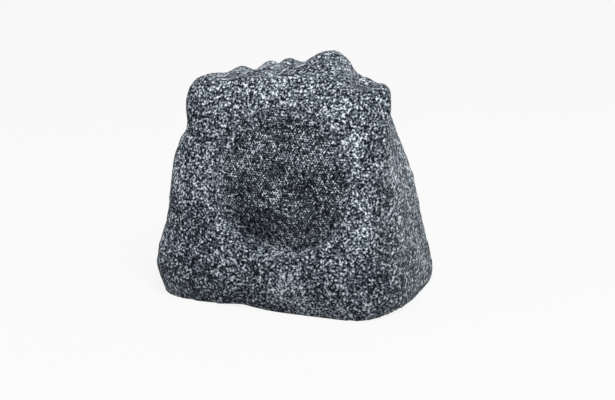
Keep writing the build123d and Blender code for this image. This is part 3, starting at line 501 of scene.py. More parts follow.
@dataclass(frozen=True)
class Metal:
    """Plated or bare metal: a bright colour with fine marks."""

    name: str
    colour: Colour
    roughness: float = 0.32
    mark: float = 1.5 * MM
    mark_depth: float = 0.02 * MM
    mark_strength: float = 0.5
    cloud: float = 9 * MM
    dim: float = 0.82
    uneven: float = 0.25

    def make(self) -> Material:
        """Makes the material.

        Returns:
            The material.
        """
        surface = Surface(self.name)
        surface.set(
            Base_Color=surface.shaded(surface.noise(self.cloud, 3.0), self.colour, self.dim),
            Roughness=self.roughness + (surface.noise(self.mark, 3.0, 0.6) - 0.5) * self.uneven,
            Metallic=1.0,
        )
        surface.bump(surface.noise(self.mark, 4.0, 0.6), self.mark_depth, self.mark_strength)
        return surface.material


@dataclass(frozen=True)
class Cloth:
    """Woven cloth: two sets of threads that pass over and under each other."""

    name: str
    colour: Colour
    weave: Weave = Weave.FINE
    thread: float = 0.12 * MM
    dim: float = 0.45
    dim_span: Span = (0.1, 0.8)
    roughness: float = 0.9

    def make(self) -> Material:
        """Makes the material.

        Returns:
            The material.
        """
        surface = Surface(self.name)
        threads = surface.ridges("X", self.weave.value) * surface.ridges("Z", self.weave.value)
        # Painted shade: the colour darkens between the threads, where the bump is low.
        colour = surface.shaded(threads, self.colour, self.dim, self.dim_span)
        surface.set(Base_Color=colour, Roughness=self.roughness)
        surface.bump(threads, self.thread)
        return surface.material


@dataclass(frozen=True)
class Winding:
    """Enamelled wire laid turn by turn: fine ridges around an axis."""

    name: str
    colour: Colour
    axis: str
    pitch: float
    dim: float = 0.4
    dim_span: Span = (0.0, 0.7)
    roughness: float = 0.35
    metallic: float = 0.8

    def make(self) -> Material:
        """Makes the material.

        Returns:
            The material.
        """
        surface = Surface(self.name)
        turns = surface.ridges(self.axis, 1 / self.pitch)
        # Painted shade: the colour darkens in the grooves between turns.
        colour = surface.shaded(turns, self.colour, self.dim, self.dim_span)
        surface.set(Base_Color=colour, Roughness=self.roughness, Metallic=self.metallic)
        surface.bump(turns, self.pitch / 3)
        return surface.material


@dataclass(frozen=True)
class CircuitBoard:
    """A lacquered board with paler copper areas under the lacquer."""

    name: str
    colour: Colour
    track: Colour
    lanes: Pair = (260, 190)
    track_edge: Span = (0.1, 0.2)
    track_height: float = 0.04 * MM
    roughness: float = 0.35

    def make(self) -> Material:
        """Makes the material.

        Returns:
            The material.
        """
        surface = Surface(self.name)
        across, along = ((surface.axis(name) * lane).math("SINE") for name, lane in zip("XY", self.lanes))
        copper = (across + along).step(self.track_edge)
        surface.set(Base_Color=surface.mix(copper, self.colour, self.track), Roughness=self.roughness)
        surface.bump(copper, self.track_height)
        return surface.material


Finish = Granite | Moulded | Metal | Cloth | Winding | CircuitBoard


def in_scene(name: str, data: bpy.types.ID) -> Object:
    """Puts a mesh, lamp or camera in the scene, at the origin.

    Args:
        name: The object's name.
        data: What it shows, in the model's frame.

    Returns:
        The object.
    """
    made = bpy.data.objects.new(name, data)
    bpy.context.scene.collection.objects.link(made)
    return made


def dressed(name: str, mesh: Mesh, finish: Material, crease: float = 180) -> Object:
    """Finishes a piece's mesh and puts it in the scene.

    Args:
        name: The piece's name.
        mesh: Its mesh.
        finish: Its only material.
        crease: Angle in degrees above which an edge stays sharp.

    Returns:
        The piece.
    """
    mesh.name = name
    mesh.materials.clear()
    mesh.materials.append(finish)
    mesh.shade_smooth()
    mesh.set_sharp_from_angle(angle=math.radians(crease))
    return in_scene(name, mesh)


def made_mesh(work: BMesh, name: str) -> Mesh:
    """Turns a mesh under construction into a plain one.

    Args:
        work: The mesh under construction, which ends here.
        name: The plain mesh's name.

    Returns:
        The plain mesh.
    """
    mesh = bpy.data.meshes.new(name)
    work.to_mesh(mesh)
    work.free()
    return mesh


def merged(node: Object) -> BMesh:
    """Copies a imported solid's mesh with its loose triangles joined.

    Args:
        node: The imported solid.

    Returns:
        The copy, under construction.
    """
    work = bmesh.new()
    work.from_mesh(node.data)
    bmesh.ops.remove_doubles(work, verts=work.verts, dist=SAME_CORNER)
    return work


def applied(piece: Object) -> Mesh:
    """Turns a piece with modifiers into a plain mesh and takes the piece out of the scene.

    Args:
        piece: The piece.

    Returns:
        The mesh as the modifiers leave it.
    """
    graph = bpy.context.evaluated_depsgraph_get()
    mesh = bpy.data.meshes.new_from_object(piece.evaluated_get(graph), depsgraph=graph)
    bpy.data.objects.remove(piece)
    return mesh


def islands(node: Object) -> list[Box]:
    """Finds the separate solids in one node.

    Args:
        node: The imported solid.

    Returns:
        Lowest and highest corner of each, in the same order in each run.
    """
    work = merged(node)
    left = set(work.verts)
    boxes = []
    while left:
        reached = [left.pop()]
        corners = []
        while reached:
            vert = reached.pop()
            corners.append(vert.co.copy())
            fresh = {edge.other_vert(vert) for edge in vert.link_edges} & left
            left -= fresh
            reached.extend(fresh)
        places = np.array(corners)
        boxes.append((Vector(places.min(0)), Vector(places.max(0))))
    work.free()
    boxes.sort(key=lambda box: [round(length / MM) for length in box[0]])
    return boxes


Loop = list[BMVert]


def walls(work: BMesh, loops: Sequence[Loop]) -> None:
    """Adds the faces between each loop and the next.

    Args:
        work: The mesh to add to.
        loops: Loops with the same number of corners.
    """
    for first, second in zip(loops, loops[1:]):
        for index in range(len(first)):
            work.faces.new((first[index - 1], first[index], second[index], second[index - 1]))


def turned(
    work: BMesh, profile: Sequence[Pair], corners: int, start: float = 0, closed: bool = False
) -> list[Loop]:
    """Adds a form turned about the Z axis.

    Args:
        work: The mesh to add to.
        profile: Radius and height of each loop.
        corners: Corners of each loop.
        start: Where the first corner stands, in degrees.
        closed: Whether the last loop is joined to the first.

    Returns:
        The loops.
    """
    turns = [math.radians(start + 360 * corner / corners) for corner in range(corners)]
    loops = [[work.verts.new((r * math.cos(t), r * math.sin(t), h)) for t in turns] for r, h in profile]
    walls(work, [*loops, loops[0]] if closed else loops)
    return loops


class CopyTree(NodeTree):
    """A Geometry Nodes tree that sets one form at many points, with named inputs for its sizes."""

    def __init__(self, name: str, sizes: dict[str, float]) -> None:
        """Makes the tree with its inputs and output.

        Args:
            name: The tree's name.
            sizes: The value of each named input.
        """
        self.group = bpy.data.node_groups.new(name, "GeometryNodeTree")
        super().__init__(self.group)
        sockets = self.group.interface
        sockets.new_socket("Geometry", in_out="INPUT", socket_type="NodeSocketGeometry")
        sockets.new_socket("Geometry", in_out="OUTPUT", socket_type="NodeSocketGeometry")
        self.sizes = {}
        for size_name, size in sizes.items():
            made = sockets.new_socket(size_name, in_out="INPUT", socket_type="NodeSocketFloat")
            self.sizes[made.identifier] = size
        self.given = self.node("NodeGroupInput")
        self.number = self.value(self.node("GeometryNodeInputIndex"))

    def vector(self, *axes: Value | float) -> NodeSocket:
        """Makes a vector of its axes."""
        return self.node("ShaderNodeCombineXYZ", inputs=dict(enumerate(axes))).outputs[0]

    def then(self, kind: str, geometry: NodeSocket, **inputs: Input) -> NodeSocket:
        """Adds a step that changes a geometry."""
        return self.node("GeometryNode" + kind, inputs={"Geometry": geometry, **inputs}).outputs[0]

    def copies(self, points: NodeSocket, form: Object, **inputs: Input) -> NodeSocket:
        """Sets the form at points, as real faces.

        Args:
            points: The points.
            form: The form.
            inputs: More sockets of the step that sets it, such as its turn.

        Returns:
            The copies.
        """
        shape = self.node("GeometryNodeObjectInfo", inputs={"Object": form}).outputs["Geometry"]
        given = {"Points": points, "Instance": shape, **inputs}
        laid = self.node("GeometryNodeInstanceOnPoints", inputs=given)
        return self.then("RealizeInstances", laid.outputs[0])

    def result(self, geometry: NodeSocket, finish: Material, points: Iterable[Vector] = ()) -> Mesh:
        """Ends the tree and runs it.

        Args:
            geometry: What the tree makes.
            finish: Its material.
            points: The points that the tree is given.

        Returns:
            The plain mesh.
        """
        painted = self.then("SetMaterial", geometry, Material=finish)
        self.node("NodeGroupOutput", inputs={0: painted})
        given = bpy.data.meshes.new(self.group.name + "_points")
        given.from_pydata(list(points), [], [])
        holder = in_scene(self.group.name + "_work", given)
        modifier = holder.modifiers.new("copies", "NODES")
        modifier.node_group = self.group
        for identifier, size in self.sizes.items():
            modifier[identifier] = size
        return applied(holder)


def repeated(form: Mesh, finish: Material, places: Iterable[Vector], turn: float) -> Mesh:
    """Sets a form at points, each copy turned further about Z.

    Args:
        form: The form.
        finish: Its material.
        places: The points.
        turn: Turn from one copy to the next, in radians.

    Returns:
        One mesh of all copies.
    """
    source = in_scene(form.name + "_form", form)
    tree = CopyTree(form.name + "_copies", {"Form Scale": 1.0})
    scale = tree.value(tree.given, "Form Scale")
    grown = tree.vector(scale, scale, scale)
    round_z = tree.vector(0, 0, tree.number * turn)
    copies = tree.copies(tree.given.outputs[0], source, Rotation=round_z, Scale=grown)
    mesh = tree.result(copies, finish, places)
    bpy.data.objects.remove(source)
    return mesh


@dataclass
class Driver:
    """Where the driver stands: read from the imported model."""

    axis: Vector
    centre: Vector
    radius: float

    @classmethod
    def read(cls, frame: dict) -> Driver:
        """Reads the axis from the cone's travel and the centre from the screen behind the grille.


        Returns:
            The driver's place.
        """
        low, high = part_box("weather_screen")
        axis = Vector(frame["joints"][0]["axis"]).normalized()
        return cls(axis, (low + high) / 2, (high.x - low.x) / 2)

    def matrix(self, forward: float) -> Matrix:
        """A place on the axis, with Z out of the rock and Y up.

        Args:
            forward: Distance from the screen's middle towards the front.

        Returns:
            The matrix from there to the model's frame.
        """
        across = Vector((1, 0, 0))
        turn = Matrix((across, self.axis.cross(across), self.axis)).transposed()
        return Matrix.Translation(self.centre + self.axis * forward) @ turn.to_4x4()

    def reach(self, place: Vector) -> float:
        """How far a point is from the axis."""
        off = place - self.centre
        return (off - self.axis * off.dot(self.axis)).length


@dataclass(frozen=True)
class Swelling:
    """A smooth rise or hollow in the rock's skin, in mm, its spread turned about Z by some degrees."""

    middle: Triple
    spread: Triple
    rise: float
    turn: float = 0.0

    def at(self, place: Vector) -> float:
        """Height of the rise at a point.

        Args:
            place: The point on the plain shell.

        Returns:
            The height in metres.
        """
        off = place / MM - Vector(self.middle)
        cos = math.cos(math.radians(self.turn))
        sin = math.sin(math.radians(self.turn))
        across = (off.x * cos + off.y * sin, off.y * cos - off.x * sin, off.z)
        far = sum((step / reach) ** 2 for step, reach in zip(across, self.spread))
        return self.rise * MM * math.exp(-far)


def scallop(across: float, height: float, width: float, rise: float) -> Swelling:
    """One ridge or furrow over the top edge, which runs back along the camera's way."""
    return Swelling((across, 12, height), (width, 50, 30), rise, 20)


@dataclass
class RockSkin:
    """The rock's shell, with the uneven skin of a weathered stone.

    Hollows raise the foot's edge off the ground. Chips are the top edge's scallops from left to right, the
    peak, the slope beside it and the right shoulder, then the left edge downwards and the lower front.
    """

    driver: Driver
    voxel: float = 2.6 * MM
    outward: float = 1 * MM
    keep_clear: float = 6 * MM
    lip_fade: float = 22 * MM
    foot_fade: float = 16 * MM
    gland_clear: float = 3 * MM
    gland_fade: float = 14 * MM
    broad: float = 1.7 * MM
    broad_size: float = 50 * MM
    small: float = 0.8 * MM
    small_size: float = 13 * MM
    small_start: Triple = (3.1, 7.7, 1.3)
    deepest: float = 3.2 * MM
    wall: float = 5 * MM
    roof: float = 215 * MM
    foot_reach: float = 25 * MM
    rim_reach: float = 8 * MM
    hollows: tuple[Swelling, ...] = (
        Swelling((-28, -112, 0), (26, 40, 10), 3.4),
        Swelling((144, -75, 0), (22, 42, 10), 5.2),
    )
    chips: tuple[Swelling, ...] = (
        Swelling((-112, -45, 243), (20, 40, 20), 3.5),
        scallop(-97, 248, 9, -3.4),
        scallop(-78, 252, 8, 1.8),
        scallop(-61, 254, 8, -5.6),
        scallop(-42, 256, 7, 1.2),
        scallop(-31, 258, 4, -3.6),
        scallop(-18, 260, 8, 3.2),
        scallop(-1, 263, 7, -2.2),
        Swelling((40, 0, 275), (14, 50, 30), 2.4),
        Swelling((74, 4, 265), (13, 60, 30), -8.5, 20),
        Swelling((108, -30, 252), (16, 50, 20), 6),
        Swelling((-122, -75, 215), (20, 40, 14), 2.8),
        Swelling((-126, -80, 196), (20, 40, 5), -1.6),
        Swelling((-128, -80, 182), (20, 40, 8), 5),
        Swelling((-130, -85, 165), (25, 40, 18), 3.4),
        Swelling((-146, -95, 68), (20, 40, 20), 3),
        Swelling((128, -96, 100), (20, 30, 60), -3.2),
        Swelling((55, -120, 30), (40, 30, 26), 3),
        Swelling((-100, -110, 70), (30, 30, 30), -2.5),
    )
    gland: Vector = field(init=False)
    gland_radius: float = field(init=False)

    def __post_init__(self) -> None:
        """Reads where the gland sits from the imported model."""
        low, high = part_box("gland_seal")
        self.gland = (low + high) / 2
        self.gland_radius = (high.x - low.x) / 2

    def build(self, node: Object, finish: Material) -> Object:
        """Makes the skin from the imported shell.

        Args:
            node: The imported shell.
            finish: The stone finish.

        Returns:
            The piece.
        """
        plain = made_mesh(merged(node), "rock_skin_plain")
        corners = [vert.co.copy() for vert in plain.vertices]
        tree = BVHTree.FromPolygons(corners, [tuple(face.vertices) for face in plain.polygons])
        piece = in_scene("rock_skin_work", plain)
        remesh = piece.modifiers.new("even_faces", "REMESH")
        remesh.mode = "VOXEL"
        remesh.voxel_size = self.voxel
        mesh = applied(piece)
        moved = [self.weathered(vert.co, vert.normal, tree) for vert in mesh.vertices]
        for vert, place in zip(mesh.vertices, moved):
            vert.co = place
        mesh.update()
        return dressed("rock_skin", mesh, finish)

    def weathered(self, place: Vector, normal: Vector, plain: BVHTree) -> Vector:
        """Moves a point of the outside in or out, and one of the inside only where a wall would get too thin.

        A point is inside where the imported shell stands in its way: along its normal, or above the roof's
        height straight up, because the slope beside the peak faces the peak.

        Args:
            place: The point on the plain shell.
            normal: The shell's normal there.
            plain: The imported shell.

        Returns:
            The point on the weathered shell.
        """
        roofed = place.z > self.roof
        way = Vector((0, 0, 1)) if roofed else normal
        inside = plain.ray_cast(place + normal * self.outward, way)[0] is not None
        height = 0.0
        if not inside:
            height = self.free_share(place) * self.relief(place)
        elif roofed:
            height = max(0.0, -self.relief(place - normal * self.wall) - self.deepest)
        moved = place + normal * height
        moved.z += self.lifted(place, self.rim_reach if inside else self.foot_reach)
        return moved

    def free_share(self, place: Vector) -> float:
        """Share of its relief that a point takes, down to none at the seats and at the foot's edge.

        Args:
            place: The point on the plain shell.

        Returns:
            The share.
        """
        if place.y < 0:
            away = (self.driver.reach(place) - self.driver.radius - self.keep_clear) / self.lip_fade
        else:
            off = Vector((place.x - self.gland.x, place.z - self.gland.z))
            away = (off.length - self.gland_radius - self.gland_clear) / self.gland_fade
        return min(1.0, max(0.0, away)) * min(1.0, max(0.0, place.z / self.foot_fade))

    def lifted(self, place: Vector, reach: float) -> float:
        """How far the uneven foot is raised off the ground at a point.

        Args:
            place: The point on the plain shell.
            reach: Height at which nothing is raised any more.

        Returns:
            The rise.
        """
        if place.z > reach:
            return 0.0
        ground = Vector((place.x, place.y, 0))
        return (1 - place.z / reach) * sum(hollow.at(ground) for hollow in self.hollows)

    def relief(self, place: Vector) -> float:
        """How far the weathered skin stands from the plain shell at a point.

        Args:
            place: The point on the plain shell.

        Returns:
            The height along the skin's normal, which below the roof is no deeper than the wall allows.
        """
        height = self.broad * noise.fractal(place / self.broad_size, 1.0, 2.0, 3)
        start = Vector(self.small_start)
        height += self.small * noise.fractal(place / self.small_size + start, 1.0, 2.0, 3)
        height += sum(chip.at(place) for chip in self.chips)
        return height if place.z > self.roof else max(-self.deepest, height)


@dataclass
class GrilleFace:
    """The domed perforated sheet and the rim that it is rolled into."""

    driver: Driver
    sheet: float = 1.2 * MM
    rise: float = 9.0 * MM
    rim: float = 5.5 * MM
    lip: float = 2.0 * MM
    screen: float = 0.6 * MM
    pitch: float = 3.0 * MM
    hole: float = 1.8 * MM
    overlap: float = 1.15
    segments: int = 120
    crease: float = 40

    @property
    def dome(self) -> float:
        """Radius of the domed part."""
        return self.driver.radius - self.rim

    def cell(self) -> Object:
        """Makes one six-sided cell of the sheet with its six-sided hole.

        Returns:
            The cell, for copying.
        """
        work = bmesh.new()
        edges = ((self.pitch, 0), (self.hole, 0), (self.hole, -self.sheet), (self.pitch, -self.sheet))
        turned(work, [(flats / 2 / HEX_FLAT, height) for flats, height in edges], 6, 30)
        return in_scene("grille_cell", made_mesh(work, "grille_cell"))

    def perforate(self, cell: Object, finish: Material) -> Mesh:
        """Lays cells in staggered rows and presses them into a dome, with Geometry Nodes.

        Args:
            cell: One cell with its hole.
            finish: The grille's paint.

        Returns:
            The domed sheet, around its own middle.
        """
        sizes = {"Pitch": self.pitch, "Dome Radius": self.dome, "Dome Rise": self.rise}
        tree = CopyTree("perforated_dome", sizes)
        pitch, radius, rise = (tree.value(tree.given, name) for name in sizes)
        columns = 2 * math.ceil(self.dome / self.pitch) + 1
        rows = 2 * math.ceil(self.dome / (self.pitch * HEX_FLAT)) + 1
        row = (tree.number / columns).math("FLOOR")
        stagger = (row % 2) * 0.5
        across = (tree.number % columns + stagger - columns / 2) * pitch
        along = (row - rows / 2) * pitch * HEX_FLAT
        inputs = {"Count": columns * rows, "Position": tree.vector(across, along)}
        points = tree.node("GeometryNodePoints", inputs=inputs).outputs[0]
        far = (across * across + along * along).math("SQRT").math("GREATER_THAN", radius - pitch * 0.5)
        kept = tree.then("DeleteGeometry", points, Selection=far)
        joined = tree.then("MergeByDistance", tree.copies(kept, cell), Distance=self.pitch / 80)
        place = tree.node("GeometryNodeInputPosition").outputs[0]
        x, y = tree.axis_of(place, "X"), tree.axis_of(place, "Y")
        ball = (radius * radius + rise * rise) / (rise * 2)
        lift = (ball * ball - x * x - y * y).math("SQRT") - ball + rise
        return tree.result(tree.then("SetPosition", joined, Offset=tree.vector(0, 0, lift)), finish)

    def build(self, finish: Material) -> Object:
        """Makes the grille: the domed sheet, closed at its edge, in the rolled rim.

        Args:
            finish: The grille's paint.

        Returns:
            The piece.
        """
        cell = self.cell()
        sheet = self.perforate(cell, finish)
        bpy.data.objects.remove(cell)
        work = bmesh.new()
        work.from_mesh(sheet)
        bmesh.ops.bridge_loops(work, edges=[edge for edge in work.edges if edge.is_boundary])
        outer = self.driver.radius
        inner = self.dome - self.pitch * self.overlap
        edge = self.sheet * 0.4
        profile = (
            (inner, edge),
            (inner + edge, -self.sheet),
            (outer - edge, -self.sheet),
            (outer, edge - self.sheet),
            (outer, self.lip - edge),
            (outer - edge, self.lip),
            (outer - self.sheet + edge / 2, self.lip),
            (outer - self.sheet * 1.3, edge * 2),
            (outer - self.sheet * 2, edge),
            (inner + self.sheet * 2, edge * 2.4),
            (inner + edge, edge * 3.2),
        )
        turned(work, profile, self.segments, closed=True)
        bmesh.ops.recalc_face_normals(work, faces=work.faces)
        mesh = made_mesh(work, "grille_face")
        mesh.transform(self.driver.matrix(self.screen / 2 + self.sheet))
        return dressed("grille_face", mesh, finish, self.crease)


@dataclass
class BaseScrews:
    """The screws under the base plate, with pan heads and cross recesses."""

    node: Object
    head: float = 4.0 * MM
    head_height: float = 2.2 * MM
    shank: float = 1.9 * MM
    recess: float = 2.3 * MM
    recess_width: float = 0.9 * MM
    recess_depth: float = 1.3 * MM
    recess_taper: float = 0.72
    segments: int = 32
    turn: float = 1.9
    crease: float = 38

    def form(self, length: float) -> Mesh:
        """Makes one screw, its head's face at the origin and its shank along +Z.

        Args:
            length: Length from the head's face to the point.

        Returns:
            The screw's mesh.
        """
        work = bmesh.new()
        edge = self.head_height / 4
        profile = (
            (self.head * 0.6, edge * 0.3),
            (self.head * 0.88, edge),
            (self.head, edge * 2.2),
            (self.head, self.head_height),
            (self.shank, self.head_height),
            (self.shank, length - self.shank),
        )
        loops = turned(work, profile, self.segments)
        for tip, loop in ((0.0, loops[0]), (length, loops[-1])):
            point = work.verts.new((0, 0, tip))
            for index, corner in enumerate(loop):
                work.faces.new((point, loop[index - 1], corner))
        bmesh.ops.recalc_face_normals(work, faces=work.faces)
        return self.crossed(made_mesh(work, "screw"))

    def crossed(self, mesh: Mesh) -> Mesh:
        """Cuts the cross recess into a screw's head.

        Args:
            mesh: The screw.

        Returns:
            The screw with its recess.
        """
        work = bmesh.new()
        inner = self.recess_width / 2
        arms = []
        for quarter in range(4):
            turn = Matrix.Rotation(quarter * math.pi / 2, 3, "Z")
            corners = [(self.recess, -inner), (self.recess, inner), (inner, inner)]
            arms += [turn @ Vector((x, y, 0)) for x, y in corners]
        down = Vector((0, 0, self.recess_depth))
        mouth = [work.verts.new(corner - down) for corner in arms]
        floor = [work.verts.new(corner * self.recess_taper + down) for corner in arms]
        work.faces.new(mouth)
        work.faces.new(floor)
        walls(work, [mouth, floor])
        bmesh.ops.recalc_face_normals(work, faces=work.faces)
        tool = in_scene("cross_tool", made_mesh(work, "cross"))
        piece = in_scene("screw_work", mesh)
        cut = piece.modifiers.new("recess", "BOOLEAN")
        cut.object = tool
        cut.operation = "DIFFERENCE"
        cut.solver = "EXACT"
        done = applied(piece)
        bpy.data.objects.remove(tool)
        return done

    def build(self, finish: Material) -> Object:
        """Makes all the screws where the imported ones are.

        Args:
            finish: The screws' plating.

        Returns:
            The piece.
        """
        boxes = islands(self.node)
        low, high = boxes[0]
        places = [Vector(((a.x + b.x) / 2, (a.y + b.y) / 2, a.z)) for a, b in boxes]
        mesh = repeated(self.form(high.z - low.z), finish, places, self.turn)
        return dressed("base_screw_heads", mesh, finish, self.crease)


@dataclass
class GlandGrip:
    """The ribs around the gland's cap, for fingers."""

    ribs: int = 20
    width: float = 1.4 * MM
    depth: float = 0.7 * MM
    margin: float = 1.6 * MM
    rounding: float = 0.55
    crease: float = 50

    def form(self, radius: float, length: float) -> Mesh:
        """Makes one rib along Z, on the cap's radius towards +X.

        Args:
            radius: The cap's radius.
            length: The rib's length.

        Returns:
            The rib's mesh.
        """
        work = bmesh.new()
        bmesh.ops.create_cube(work, size=1.0)
        size = Vector((self.depth * 2, self.width, length))
        bmesh.ops.scale(work, vec=size, verts=work.verts)
        round_by = self.depth * self.rounding
        edges = list(work.edges)
        bmesh.ops.bevel(work, geom=edges, offset=round_by, segments=3, profile=0.5, affect="EDGES")
        bmesh.ops.translate(work, vec=(radius, 0, 0), verts=work.verts)
        return made_mesh(work, "rib")

    def build(self, finish: Material) -> Object:
        """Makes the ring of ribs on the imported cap.

        Args:
            finish: The cap's plastic.

        Returns:
            The piece.
        """
        low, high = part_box("gland_cap")
        rib = self.form((high.x - low.x) / 2, high.y - low.y - 2 * self.margin)
        mesh = repeated(rib, finish, [Vector()] * self.ribs, 2 * math.pi / self.ribs)
        mesh.transform(Matrix.Translation((low + high) / 2) @ Matrix.Rotation(-math.pi / 2, 4, "X"))
        return dressed("gland_grip", mesh, finish, self.crease)


@dataclass
class Suspension:
    """A ring that the cone hangs in: its outside stays with the cabinet and its inside goes with the cone."""

    driver: Driver
    node: Object
    landing: float
    crease: float = 40

    def build(self, name: str, finish: Material) -> Object:
        """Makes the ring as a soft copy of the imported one.

        Args:
            name: The piece's name.
            finish: Its rubber or cloth.

        Returns:
            The piece, bending between the two bodies.
        """
        piece = dressed(name, made_mesh(merged(self.node), name), finish, self.crease)
        mesh = piece.data
        middle = self.driver.centre
        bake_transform(piece, Body.CABINET.value, Body.CONE.value, middle, middle - self.driver.axis)
        reaches = np.array([self.driver.reach(vert.co) for vert in mesh.vertices])
        inner, outer = reaches.min() + self.landing, reaches.max() - self.landing
        share = np.clip((outer - reaches) / (outer - inner), 0, 1)
        weight = share * share * (3 - 2 * share)
        mesh.attributes["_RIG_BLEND"].data.foreach_set("value", weight.astype(np.float32))
        return piece


def aimed(name: str, data: bpy.types.ID, place: Vector, aim: Vector) -> Object:
    """Puts a lamp or camera in the scene and turns it to what it looks at.

    Args:
        name: Its name.
        data: The lamp or camera.
        place: Where it stands.
        aim: What it looks at.

    Returns:
        The object.
    """
    made = in_scene(name, data)
    made.location = place
    made.rotation_euler = (aim - place).to_track_quat("-Z", "Y").to_euler()
    return made


@dataclass(frozen=True)
class Lamp:
    """A square lamp: where it hangs, its width and its power in watts."""

    name: str
    place: Triple
    size: float
    power: float

    def hang(self, aim: Vector) -> None:
        """Hangs the lamp.

        Args:
            aim: What it looks at.
        """
        data = bpy.data.lights.new(self.name, "AREA")
        data.size = self.size
        data.energy = self.power
        aimed(self.name, data, Vector(self.place), aim)


@dataclass
class Studio:
    """The floor, the light and the camera."""

    aim: Vector = field(default_factory=lambda: Vector((0, -0.006, 0.135)))
    azimuth: float = 20.0
    elevation: float = 15.0
    distance: float = 2.0
    picture: tuple[int, int] = (615, 400)
    aim_pixel: Pair = (298.5, 172.5)
    pixels_to_metre: float = 854.7
    sensor: float = 36.0
    lamps: tuple[Lamp, ...] = (
        Lamp("key", (1.3, -1.5, 3.0), 1.4, 86),
        Lamp("fill", (-2.4, -2.2, 1.0), 2.0, 10),
    )
    room_light: float = 0.42
    floor_reach: float = 8.0
    floor_colour: Colour = written(214, 214, 214)
    floor_glow: float = 0.88

    def back(self) -> Vector:
        """Direction from the aim to the camera."""
        turn, lift = math.radians(self.azimuth), math.radians(self.elevation)
        return Vector((math.sin(turn) * math.cos(lift), -math.cos(turn) * math.cos(lift), math.sin(lift)))

    def camera(self) -> None:
        """Places the camera at the photograph's angle and framing."""
        width, height = self.picture
        data = bpy.data.cameras.new("camera")
        data.sensor_width = self.sensor
        data.lens = self.pixels_to_metre * self.distance * self.sensor / width
        data.shift_x = (width / 2 - self.aim_pixel[0]) / width
        data.shift_y = (self.aim_pixel[1] - height / 2) / width
        place = self.aim + self.back() * self.distance
        bpy.context.scene.camera = aimed("camera", data, place, self.aim)

    def world(self) -> None:
        """Lights the room evenly, and shows it white."""
        world = bpy.data.worlds.new("room")
        world.use_nodes = True
        tree = NodeTree(world.node_tree)
        soft, white = (
            tree.node("ShaderNodeBackground", inputs={"Color": WHITE, "Strength": strength}).outputs[0]
            for strength in (self.room_light, 1.0)
        )
        mixed = tree.node("ShaderNodeMixShader", inputs={0: tree.seen(), 1: soft, 2: white})
        tree.node("ShaderNodeOutputWorld", inputs={0: mixed.outputs[0]})
        bpy.context.scene.world = world

    def floor(self) -> Object:
        """Lays the pale floor, nearly white where the camera sees it, with the rock's shadow on it.

        Returns:
            The floor.
        """
        surface = Surface("pale_floor")
        surface.set(Base_Color=self.floor_colour, Roughness=0.9)
        glow = surface.node("ShaderNodeEmission", inputs={"Color": WHITE, "Strength": 1.0})
        shown = surface.seen() * self.floor_glow
        inputs = {0: shown, 1: surface.shader.outputs[0], 2: glow.outputs[0]}
        mixed = surface.node("ShaderNodeMixShader", inputs=inputs)
        surface.feed(surface.output.inputs["Surface"], mixed.outputs[0])
        work = bmesh.new()
        bmesh.ops.create_grid(work, x_segments=8, y_segments=8, size=self.floor_reach)
        mesh = made_mesh(work, "floor")
        mesh.materials.append(surface.material)
        return in_scene("floor", mesh)

    def build(self) -> None:
        """Sets up the studio."""
        bpy.context.scene.view_settings.view_transform = "Standard"
        self.camera()
        for lamp in self.lamps:
            lamp.hang(self.aim)
        self.world()
        self.floor()


# Colour, roughness, and where they differ from most, size and depth of the grain.
MOULDINGS = {
    "black_rubber": ((38, 38, 39), 0.75, 0.9 * MM),
    "frame_paint": ((30, 31, 33), 0.38, 1.1 * MM),
    "ferrite": ((62, 62, 64), 0.6, 0.5 * MM, 0.1 * MM),
    "cone_plastic": ((44, 44, 47), 0.55, 0.8 * MM),
    "strip_board": ((146, 108, 66), 0.6),
    "dark_plastic": ((40, 41, 43), 0.55, 0.7 * MM, 0.08 * MM),
    "dome_film": ((212, 196, 150), 0.35, 1.4 * MM, 0.02 * MM),
    "bobbin_plastic": ((226, 222, 210), 0.5),
    "capacitor_sleeve": ((34, 48, 96), 0.25, 2.0 * MM, 0.02 * MM),
    "resistor_ceramic": ((230, 228, 220), 0.75, 0.5 * MM, 0.1 * MM),
    "block_plastic": ((48, 104, 164), 0.4),
    "lead_jacket": ((168, 34, 30), 0.4),
    "tweeter_lead_jacket": ((36, 36, 37), 0.4),
}
# Colour and roughness.
METALS = {
    "screw_steel": ((196, 198, 200), 0.3),
    "motor_steel": ((186, 188, 184), 0.36),
    "former_foil": ((214, 214, 216), 0.28),
    "tag_metal": ((210, 204, 180), 0.3),
}


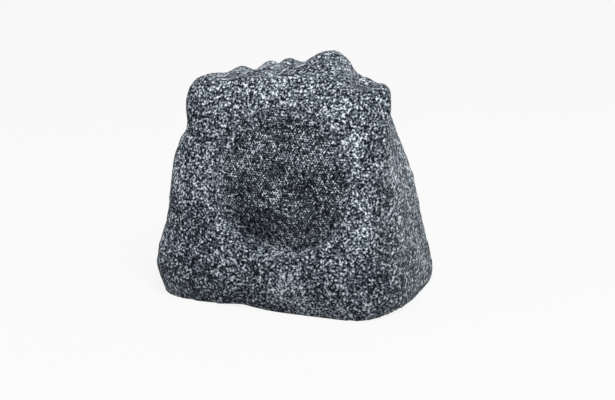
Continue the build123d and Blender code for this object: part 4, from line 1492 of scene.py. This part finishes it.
def finishes() -> dict[str, Finish]:
    """Lists the finish of each material slot.

    Returns:
        The finishes by slot.
    """
    plain = {slot: Moulded(slot, written(*tone), *more) for slot, (tone, *more) in MOULDINGS.items()}
    bright = {slot: Metal(slot, written(*tone), rough) for slot, (tone, rough) in METALS.items()}
    # Painted shade over the grille's lower part, towards the bottom of its recess.
    painted_shade = {"painted_shade": 0.4, "painted_shade_span": (0.140, 0.085)}
    return {
        **plain,
        **bright,
        "stone_shell": Granite("speckled_stone"),
        # The grille is a dimmer copy of the stone: painted shade for its recess.
        "grille_paint": Granite("speckled_grille", fleck=2.4 * MM, shade=0.94, **painted_shade),
        "screen_cloth": Cloth("screen_cloth", written(34, 35, 37)),
        "spider_cloth": Cloth("spider_cloth", written(196, 164, 98), Weave.OPEN),
        "copper_wire": Winding("copper_wire", written(196, 118, 70), "Z", 0.9 * MM),
        "board_green": CircuitBoard("board_green", written(24, 84, 46), written(52, 128, 74)),
    }


def dress(frame: dict, made: dict[str, Material]) -> None:
    """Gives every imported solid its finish.

    Args:
        made: The materials by slot.
    """
    for part in frame["record"]["subparts"]:
        node = frame["nodes"][part["node"]]
        node.data.materials.clear()
        node.data.materials.append(made[part["material_slot"]])


def enter(piece: Object, stands_for: str = "", rides: bool = True) -> None:
    """Tells the frame about a piece and reports it.

    Args:
        piece: The piece.
        stands_for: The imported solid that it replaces.
        rides: Whether it goes with the cabinet. A piece that bends between two bodies doesn't.
    """
    if rides:
        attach(piece, Body.CABINET.value)
    if stands_for:
        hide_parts(stands_for)
    LOG.info("%s: %d faces", piece.name, len(piece.data.polygons))


def main() -> None:
    """Builds the dressed speaker in order and reports each piece."""
    logging.basicConfig(level=logging.INFO, format="%(message)s")
    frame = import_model()
    nodes = frame["nodes"]
    made = {slot: finish.make() for slot, finish in finishes().items()}
    dress(frame, made)
    driver = Driver.read(frame)
    enter(RockSkin(driver).build(nodes["rock_shell"], made["stone_shell"]), "rock_shell")
    enter(GrilleFace(driver).build(made["grille_paint"]), "grille")
    enter(BaseScrews(nodes["base_screws"]).build(made["screw_steel"]), "base_screws")
    for name, node, slot, landing in (
        ("surround_roll", "woofer_surround", "black_rubber", 2.3 * MM),
        ("spider_disc", "spider", "spider_cloth", 1.5 * MM),
    ):
        ring = Suspension(driver, nodes[node], landing).build(name, made[slot])
        enter(ring, node, rides=False)
    enter(GlandGrip().build(made["dark_plastic"]))
    Studio().build()


if __name__ == "__main__":
    main()
